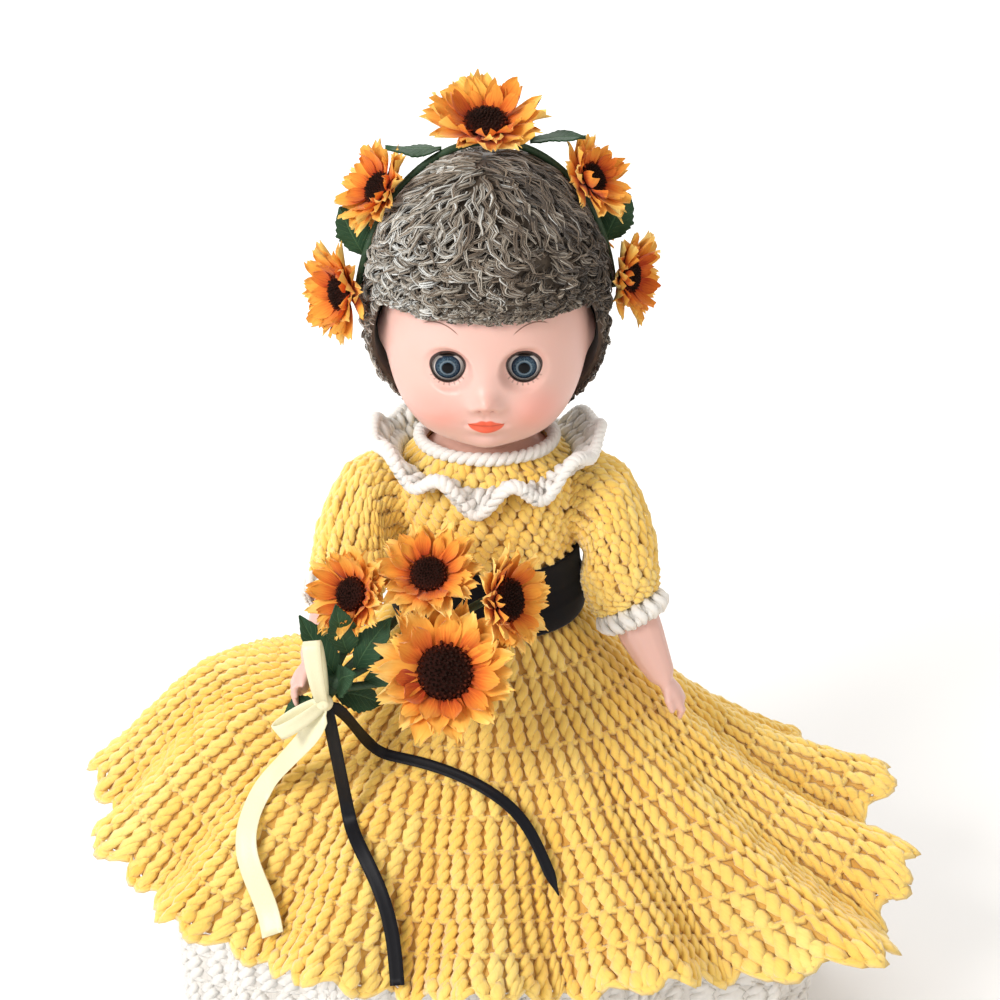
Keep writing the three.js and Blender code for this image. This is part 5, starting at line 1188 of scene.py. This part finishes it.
def seeds_over(count, accept):
    """Evenly scattered seeds on the cap where accept is true."""
    found = []
    golden = math.pi * (3 - math.sqrt(5))
    for k in range(count):
        around = math.remainder(k * golden, 2 * math.pi)
        line, back = hair_line(around)
        t = (hair_top - math.asin(1 - 2 * (k + 0.5) / count)) / (hair_top - line)
        if 0 <= t <= 1 and accept(t, back):
            found.append((around + hair_rng.normal(0, 0.03), t + hair_rng.normal(0, 0.01)))
    return found


# Each style is a lock's length, curl, lift, spread and sweep at a place on the cap.
def dome_style(around, t):
    sweep = 0.75 * math.tanh(4 * around) * math.cos(around * 0.8)
    return hair_rng.uniform(10, 15), 0.6, 3.0 + 2.0 * soft_step(0.4, 0.6, t), 0.9, sweep


def fringe_style(around, t):
    short = 1 - 0.7 * soft_step(0.75, 0.95, t) * (0.5 + 0.5 * soft_step(-0.6, 0.0, around))
    return hair_rng.uniform(9, 13) * short, 2.8, 4.2 - 1.6 * soft_step(0.8, 1, t), 1.1, -0.3


def back_style(around, t):
    low = soft_step(0.72, 0.98, t)
    return hair_rng.uniform(9, 15) * (1 - 0.6 * low), 0.5, 2.6 - 1.1 * low, 1.05, 0


def edge_style(around, t):
    front = 1 - soft_step(0.9, 1.3, abs(around))
    return hair_rng.uniform(4, 8) * (1 - 0.55 * front), 1.6, 1.6, 0.9, 0


dome = seeds_over(3000, lambda t, back: t < 0.62 and back < 0.6)
fringe = seeds_over(3200, lambda t, back: 0.56 <= t < 0.96 and back < 0.35)
behind = seeds_over(1750, lambda t, back: (back >= 0.35 and t > 0.3) or (back >= 0.6 and t <= 0.3))
turns = np.linspace(-math.pi, math.pi, 210, endpoint=False)
edge = [(turn + hair_rng.normal(0, 0.01), t) for turn in turns for t in (0.9, 0.95, 0.985)]
lock_field("hair_dome_tufts", dome, dome_style, 7, 6)
lock_field("hair_bangs_curls", fringe, fringe_style, 8, 8)
lock_field("hair_back_locks", behind, back_style, 7, 6)
lock_field("hair_edge_locks", edge, edge_style, 8, 6)

turn = np.linspace(-math.pi, math.pi, 96, endpoint=False)
row = np.linspace(0.0, 1, 30)[:, None]
outer = hair_place(turn, row, hair_depth(turn, row) - 0.6)
inner = hair_place(turn, row[::-1], 1.4 + 3 * np.sin(turn) ** 2)
cap = capped(np.concatenate([outer, inner]), [outer[0].mean(0), inner[-1].mean(0)])
# The cap is painted dark brown, as shade under the hair.
make_piece("hair_cap", cap, *on_head, "hair", depth=0.25, tint=0.22)

# Cloth sunflowers of the crown. Each has three rings of cut cloth petals, dyed from red-orange at the
# root to pale yellow at the ragged tips, round a dark domed centre of stubby florets. The short inner
# petals curl up round the centre.
flower_rng = np.random.default_rng(5)
crown_radius, stud_radius, petal_thick = 23.6, 3, 0.35
band_wire, band_axes, band_y, band_skew = 1.5, (52.8, 73.8), 3, 0.17
# Each flower's angle on the band, its size and how far it looks forward.
crown_flowers = [(90, 1, 0.42), (134, 0.78, 0.5), (169, 0.84, 0.75), (46, 0.78, 0.5), (11, 0.8, 0.6)]
flower_out, back_size = 4.15, 0.72
# Each ring of petals: how many, where they start and end as shares of the flower's radius, how wide they
# are, how high they start in millimetres, how steeply they rise and how much they curl.
petal_rings = [
    (12, 0.2, 1.03, 0.2, 0.3, 0.9, 0.02),
    (11, 0.25, 0.9, 0.19, 1.3, 1.3, 0.07),
    (9, 0.3, 0.66, 0.17, 2.1, 2.0, 0.12),
]
petal_widths = np.array([0.5, 0.72, 0.92, 1, 0.97, 0.8, 0.45])
petal_teeth = np.array([0, 1, -1, 1, -1, 1, 0])

# Dyed cloth: the colour runs along the petal, with fine veins and paler edges.
paint = Paint("petal cloth")
veins = paint.streaks(26, 1.4, scale=1.0, detail=3.0, rough=0.6)
reach = paint.number("depth") + veins.turn("MULTIPLY_ADD", 0.5, -0.25)
reach = reach.turn("ADD", paint.number("tint"), clamp=True)
reds = [(0, (0.42, 0.045, 0.006)), (0.26, (0.74, 0.17, 0.02)), (0.55, (0.88, 0.38, 0.05))]
yellows = [(0.85, (0.94, 0.53, 0.1)), (1, (1.0, 0.68, 0.2))]
dye = paint.dyed(reach, *reds, *yellows)
petal_cloth = paint.finish(dye, 0.8, (veins, 0.5, 0.0004), Specular_IOR_Level=0.2, Sheen_Weight=0.15)
# The centre: nearly black brown, with a red-brown ring near its edge. The florets are painted lighter
# toward their tips and darker at their roots and on the dome: painted light and shade.
paint = Paint("floret pile")
lit = paint.number("depth") * paint.noise(700.0)
brown = paint.mix(lit, (0.004, 0.002, 0.002), (0.05, 0.018, 0.01))
brown = paint.mix(paint.number("tint"), brown, (0.2, 0.03, 0.008))
floret_pile = paint.finish(brown, 0.85, Specular_IOR_Level=0.15)


def cloth_blade(length, half, tips, rise, thick):
    """A thin closed blade of cloth along +X. Half is its half width along it, tips is how far each
    column reaches as a share of its length, and rise is its height at each point."""
    rows, columns = len(half), len(tips)
    s = np.linspace(0, 1, rows)[:, None]
    u = np.linspace(-1, 1, columns)[None, :]
    x = length * s * (1 + (np.asarray(tips)[None, :] - 1) * s**2)
    y = np.asarray(half)[:, None] * u
    front = np.stack([x, y, rise(s, u) + thick / 2], -1)
    back = (front - (0, 0, thick))[:, ::-1]
    points = np.concatenate([front, back], 1).reshape(-1, 3)
    quads, corners = grid_faces(rows, 2 * columns, False, True)
    j = np.arange(columns - 1)
    root = np.stack([j, j + 1, 2 * columns - 2 - j, 2 * columns - 1 - j], -1)
    quads = np.concatenate([quads, root, root[:, ::-1] + (rows - 1) * 2 * columns])
    corners = np.concatenate([corners, np.zeros((8 * (columns - 1), 2))])
    return points, quads, np.zeros((0, 3), int), corners


def cut_cloth(name, shape, material, body, slot, stands_for=None, **numbers):
    """A piece of cut cloth: smooth faces with sharp edges where it is cut."""
    piece = make_piece(name, shape, material, body, slot, stands_for, **numbers)
    hold(piece)
    bpy.ops.object.shade_smooth_by_angle(angle=math.radians(55))


def petals_of(radius, cup, rings):
    """Every petal of a flower that faces +Z, with how far along each point is and its dye."""
    shapes, alongs, tones = [], [], []
    slope = cup / (radius - stud_radius)
    for number, (count, start, end, wide, base, steep, curl) in enumerate(rings):
        for k in range(count):
            turn = 2 * math.pi * (k + 0.37 * number) / count + flower_rng.normal(0, 0.07)
            first = start * radius
            length = end * radius * flower_rng.uniform(0.9, 1.05) - first
            half = wide * radius * flower_rng.uniform(0.85, 1.15) * petal_widths
            tips = 1 - 0.14 * np.linspace(-1, 1, 7) ** 2 + petal_teeth * 0.05
            tips = tips + flower_rng.uniform(-0.07, 0.07, 7)
            steeper = slope * steep * flower_rng.uniform(0.75, 1.3)
            fold = 0.16 * wide * radius * flower_rng.choice([-1, 1, 1.6])
            wave, phase = 0.035 * radius * flower_rng.uniform(0.5, 1.3), flower_rng.uniform(0, 6)
            bend = curl * radius * flower_rng.uniform(0.2, 1.5)
            lean = flower_rng.normal(0, 0.16)

            def rise(s, u):
                climb = base + slope * (first - stud_radius) + steeper * length * s + bend * s**3
                ripple = wave * np.sin(3 * u + 4 * s + phase) * s
                return climb + fold * 2 * u**2 + ripple + lean * half.max() * u * s

            points, *faces = cloth_blade(length, half, tips, rise, petal_thick)
            c, s = math.cos(turn), math.sin(turn)
            points = (points + (first, 0, 0)) @ np.array([[c, s, 0], [-s, c, 0], [0, 0, 1]])
            shapes.append((points, *faces))
            reach = np.hypot(points[:, 0], points[:, 1]) / radius
            alongs.append(np.clip((reach - 0.3) / 0.68, 0, 1))
            tones.append(np.full(len(points), flower_rng.normal(0, 0.09) - 0.07 * (number == 2)))
    return joined(shapes), np.concatenate(alongs), np.concatenate(tones)


def centre_of(radius, cup, disc, rise):
    """The stud, the dome and its florets, for a flower that faces +Z."""
    rim = 1.2 + cup / (radius - stud_radius) * disc
    outline = [(0.4, -1.6), (stud_radius, -1.5), (stud_radius, 1.0), (disc * 0.98, rim)]
    outline += [(disc * share, rim + rise * up) for share, up in ((0.85, 0.45), (0.5, 0.8), (0.05, 0.85))]
    dome = tube([(0, 0, z) for r, z in outline], [r for r, z in outline], 24, (0, 1, 0))
    count, thick = 130, disc * 0.075
    k = np.arange(count)
    share = np.sqrt((k + 0.5) / count)
    turn = k * math.pi * (3 - math.sqrt(5))
    flat = np.stack([np.cos(turn), np.sin(turn), 0 * turn], -1) * (disc * 0.94 * share)[:, None]
    top = rim + rise * (0.85 - 0.75 * share**3) - 0.3
    root = flat + np.outer(top, (0, 0, 1))
    way = unit(flat * (0.7 / disc) * share[:, None] + (0, 0, 1) + flower_rng.normal(0, 0.16, (count, 3)))
    tall = disc * 0.16 * flower_rng.uniform(0.75, 1.25, count)[:, None]
    paths = np.stack([root, root + way * tall * 0.6, root + way * tall], 1)
    florets = strand_shapes(paths, np.tile(np.array([0.8, 1, 0.35]) * thick, (count, 1)))
    edge = soft_step(0.68, 0.98, share) * flower_rng.uniform(0.2, 1, count)
    plain = np.full(len(dome[0]), 0.1)
    # Depth along each floret, for the painted light at its tip and the painted shade at its root and on the
    # dome.
    depth = np.concatenate([plain, np.tile(np.repeat([0.1, 0.6, 1.0], 3), count)])
    return joined([dome, florets]), depth, np.concatenate([plain, np.repeat(edge, 9)])


def cloth_flower(name, seat, axis, spin, radius, cup, disc, rise, rings, body):
    """A flower that is turned about its axis, looks along it, and sits on its seat."""
    turned = Vector((0, 0, 1)).rotation_difference(Vector(axis)).to_matrix()
    turned = np.array(turned @ Matrix.Rotation(spin, 3, "Z")).T
    (points, *faces), depth, tint = petals_of(radius, cup, rings)
    shape = (points @ turned + seat, *faces)
    numbers = {"depth": depth, "tint": tint}
    cut_cloth(f"{name}_petal_cloth", shape, petal_cloth, body, "petal", f"{name}_petals", **numbers)
    (points, *faces), depth, tint = centre_of(radius, cup, disc, rise)
    shape = (points @ turned + seat, *faces)
    numbers = {"depth": depth, "tint": tint}
    make_piece(f"{name}_florets", shape, floret_pile, body, "disc", f"{name}_centre", **numbers)


def crown_flower(number, seat, axis, spin, size):
    radius = crown_radius * size
    sizes = (radius, 0.3 * radius, 0.38 * radius, 0.13 * radius)
    cloth_flower(f"crown_flower_{number}", seat, axis, spin, *sizes, petal_rings, "head")


def crown_place(angle, out):
    """A point on the crown's band, pushed out of it, and the way out of it."""
    a = math.radians(angle)
    normal = unit(np.array([math.cos(a) / band_axes[0], 0, math.sin(a) / band_axes[1]]))
    x = band_axes[0] * math.cos(a)
    on = np.array([x, band_y + band_skew * x, head_middle + band_axes[1] * math.sin(a)])
    return on + normal * out, normal


for number, (angle, size, tilt) in enumerate(crown_flowers):
    seat, normal = crown_place(angle, flower_out)
    crown_flower(number + 1, seat, normal + (0, -tilt, 0), number, size)
for number, side in [(6, 1), (7, -1)]:
    seat = hair_place(math.radians(122) * side, 0.4, 9.0)
    outward = unit(seat - (0, 0, head_middle))
    crown_flower(number, seat + outward * 0.6, outward + (side * 0.5, 0.2, -0.1), number - 6, back_size)

# Crown leaves and band. Dark green waxed cloth leaves with a midrib and saw teeth, on a wire wound
# with green paper tape that runs over the hair from ear to ear.
leaf_length, leaf_width, leaf_thick, leaf_out = 22, 15, 0.7, 2.4
# Each leaf's angle on the band, its way along the band, its lean, and whether it faces the front.
crown_leaves = [(108, 1, 0.52, False), (157, -1, 0.9, True), (72, -1, 0.52, False), (23, 1, 0.9, True)]

paint = Paint("leaf cloth")
across, along, _ = paint.parts(paint.along())
across = ((across * 2).turn("FRACT") - 0.5).size()
side_veins = ((along * 9 - across * 5) * (2 * math.pi)).turn("SINE").ramp(0.8, 1.0) * 0.6
veins = across.ramp(0.035, 0.01).turn("MAXIMUM", side_veins)
green = paint.mix(paint.noise(90.0, 3.0), (0.008, 0.025, 0.01), (0.035, 0.1, 0.045))
green = paint.mix(veins * 0.5, green, (0.09, 0.18, 0.08))
leaf_cloth = paint.finish(green, 0.6, (veins, 0.6, -0.0005), Specular_IOR_Level=0.25)

paint = Paint("green tape")
across, along, _ = paint.parts(paint.along())
laps = (along * (1 / 7) + across).turn("FRACT")
green = paint.mix(paint.noise(1500.0), (0.012, 0.035, 0.014), (0.04, 0.1, 0.045))
green = paint.mix(laps.ramp(0.12, 0) * 0.6, green, (0.006, 0.015, 0.006))
green_tape = paint.finish(green, 0.6, (laps, 0.4, 0.0003))


def cloth_leaf(length, width, arch, long, wide, seat, teeth=9):
    """A leaf from its seat: it arches, folds at its midrib, waves at its edge and has saw teeth."""
    s = np.linspace(0, 1, 4 * teeth + 1)
    half = np.interp(s, [0, 0.2, 0.5, 0.8, 1], [0.08, 0.7, 1, 0.55, 0.06]) * width / 2
    half = half * (1 + 0.16 * ((s * teeth) % 1 - 0.5) * np.sin(math.pi * s) ** 0.5)

    def rise(s, u):
        wave = 0.03 * width * np.sin(9 * s + 2 * u) * u**2
        return arch * np.sin(0.8 * math.pi * s) + 0.07 * width * np.abs(u) + wave

    points, *faces = cloth_blade(length, half, np.ones(9), rise, leaf_thick)
    return points @ np.stack([long, wide, np.cross(long, wide)]) + seat, *faces


for number, (angle, way, lean, faces) in enumerate(crown_leaves):
    seat, normal = crown_place(angle, 0 if faces else leaf_out)
    long = unit(np.cross(normal, (0, 1, 0)) * way + normal * lean)
    wide = np.cross((0, 1, 0), long) if faces else np.array([0.0, 1.0, 0.0])
    seat = seat + (0, leaf_out, 0) if faces else seat
    name = f"crown_leaf_{number + 1}"
    shape = cloth_leaf(leaf_length, leaf_width, 1, long, wide, seat)
    cut_cloth(f"{name}_cloth", shape, leaf_cloth, "head", "leaf", name)
band = [crown_place(angle, 0)[0] for angle in np.linspace(8, 172, 60)]
band_tube = tube(band, band_wire, 14, (0, 1, 0))
make_piece("headband_taped_wire", band_tube, green_tape, "head", "wire", "headband")

# Posy. Four cloth sunflowers on taped wires that are bundled in the right hand, with dark leaves
# between them. The big one faces the front, and the others face up, forward and to her left.
posy_tie, posy_reach, posy_leaf = np.array([-64.8, -80.8, 200.3]), 70, 32
# Each flower's place, the way it faces, its radius, and its centre's radius and height as shares of it.
posy_flowers = [
    ((0.69, -0.06, 0.16), (0.05, -0.8, 0.6), 27.5, 0.42, 0.13),
    ((1, 0.17, 0.5), (0.8, -0.5, 0.35), 20.1, 0.45, 0.15),
    ((0.6, 0.22, 0.62), (0, -0.6, 0.8), 20.1, 0.375, 0.15),
    ((0.19, 0.19, 0.52), (-0.5, -0.65, 0.55), 18.2, 0.39, 0.17),
]
posy_rings = [
    (14, 0.25, 1.07, 0.19, 0.3, 0.9, 0.02),
    (13, 0.33, 0.97, 0.175, 1.3, 1.3, 0.06),
    (11, 0.4, 0.76, 0.15, 2.1, 2.0, 0.1),
]
bundle_radius, stem_radius, posy_cup = 4.2, 1.7, 7
bundle = [((-0.95, 0, -2.4), 0.62), ((0, 0, 0), 1), ((1.9, 0, 1.43), 0.81)]
stem_path = [posy_tie + np.array(spot) * bundle_radius for spot, size in bundle]
stem_sizes = np.interp(np.linspace(0, 2, 12), [0, 1, 2], [size * bundle_radius for spot, size in bundle])
stems = [tube(smooth_line(stem_path, 12), stem_sizes, 20, (0, 1, 0))]
for number, (spot, axis, radius, disc, rise) in enumerate(posy_flowers):
    seat = posy_tie + np.array(spot) * posy_reach
    out = unit(np.array(axis, float))
    sizes = (radius, posy_cup, disc * radius, rise * radius)
    cloth_flower(f"posy_flower_{number + 1}", seat, out, number, *sizes, posy_rings, "right_arm")
    back = seat - out * 1.9
    stems.append(tube(smooth_line([posy_tie, back - out * 6, back], 14), stem_radius, 10, (0, 1, 0.1)))
make_piece("posy_taped_stems", joined(stems), green_tape, "right_arm", "wire", "posy_stems")

# Each leaf's root, the way it points, and its length and width.
posy_leaves = [
    ((0.16, 0.09, 0.125), (-0.45, 0.1, 0.85), 1, 0.41),
    ((0.16, 0, 0.06), (0.5, -0.5, 0.6), 0.62, 0.44),
    ((0.09, 0.06, -0.06), (0.75, 0.35, -0.5), 0.69, 0.41),
    ((-0.09, 0, -0.19), (-0.9, 0.1, -0.5), 0.47, 0.375),
    ((0.4, 0.05, 0.3), (0.55, 0.1, 0.8), 0.85, 0.42),
    ((0.3, 0.1, 0.5), (-0.15, -0.1, 1), 0.8, 0.42),
    ((0.5, 0.02, 0.12), (0.95, 0.15, 0.25), 0.8, 0.4),
]
leaves = []
for spot, toward, length, width in posy_leaves:
    long = unit(np.array(toward, float))
    wide = unit(np.cross(unit(np.array([0.0, -1.0, 1.0])), long))
    root = posy_tie + np.array(spot) * posy_leaf
    leaves.append(cloth_leaf(length * posy_leaf, width * posy_leaf, 3, long, wide, root))
cut_cloth("posy_leaves_cloth", joined(leaves), leaf_cloth, "right_arm", "wire")

# Cream bow. A double-faced satin ribbon is tied round the stems, with one loop up over the hand and a
# shorter one to the side. Its knot holds the three streamers.
cream_loops = [((-0.1, -0.1, 1), 30, 9), ((-0.8, -0.15, -0.5), 22.5, 6.75)]
bow_parts = [rounded_knot(posy_knot, knot_radius, 0.8)]
for toward, length, height in cream_loops:
    way = unit(np.array(toward, float))
    bow_parts.append(tied_loop(posy_knot, way, np.array([0, -1, 0]) + way * way[1], length, height, 7.2, 0.8))
make_piece("cream_bow_ribbon", joined(bow_parts), cream_satin, "right_arm", "satin_cream", "cream_bow")

# Arms and legs. Soft vinyl, moulded in one piece each with the small fingers and toes. They are the
# CAD shapes with their facets smoothed.
limb_vinyl, limb_cell = vinyl("limb vinyl", False), 0.75
for label in ("left_arm", "right_arm", "left_leg", "right_leg"):
    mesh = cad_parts[label].data.copy()
    mesh.transform(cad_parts[label].matrix_world)
    limb = added(f"{label}_vinyl", mesh)
    hold(limb)
    bpy.ops.object.mode_set(mode="EDIT")
    bpy.ops.mesh.select_all(action="SELECT")
    bpy.ops.mesh.remove_doubles(threshold=0.01 * mm)
    bpy.ops.object.mode_set(mode="OBJECT")
    worked(limb, "REMESH", mode="VOXEL", voxel_size=limb_cell * mm)
    worked(limb, "SMOOTH", factor=0.5, iterations=10)
    limb.data.materials.clear()
    limb.data.materials.append(limb_vinyl)
    bpy.ops.object.shade_smooth()
    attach(limb, label)
    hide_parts(label)

# Hidden hard parts: the blow-moulded torso, and the ivory case and lead weight behind each eye. They
# keep their CAD shapes and take procedural finishes.
hidden_finishes = [
    ("torso vinyl", (0.72, 0.42, 0.33), (0.8, 0.5, 0.41), 0.5, ["torso"]),
    ("case ivory", (0.62, 0.55, 0.44), (0.72, 0.65, 0.54), 0.45, ["left_eye_case", "right_eye_case"]),
    ("lead", (0.12, 0.125, 0.13), (0.22, 0.225, 0.23), 0.6, ["left_eye_weight", "right_eye_weight"]),
]
for name, low, high, rough, parts in hidden_finishes:
    material = mottled(name, 260.0, low, high, rough, 3.0)
    for part in parts:
        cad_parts[part].data.materials.clear()
        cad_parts[part].data.materials.append(material)
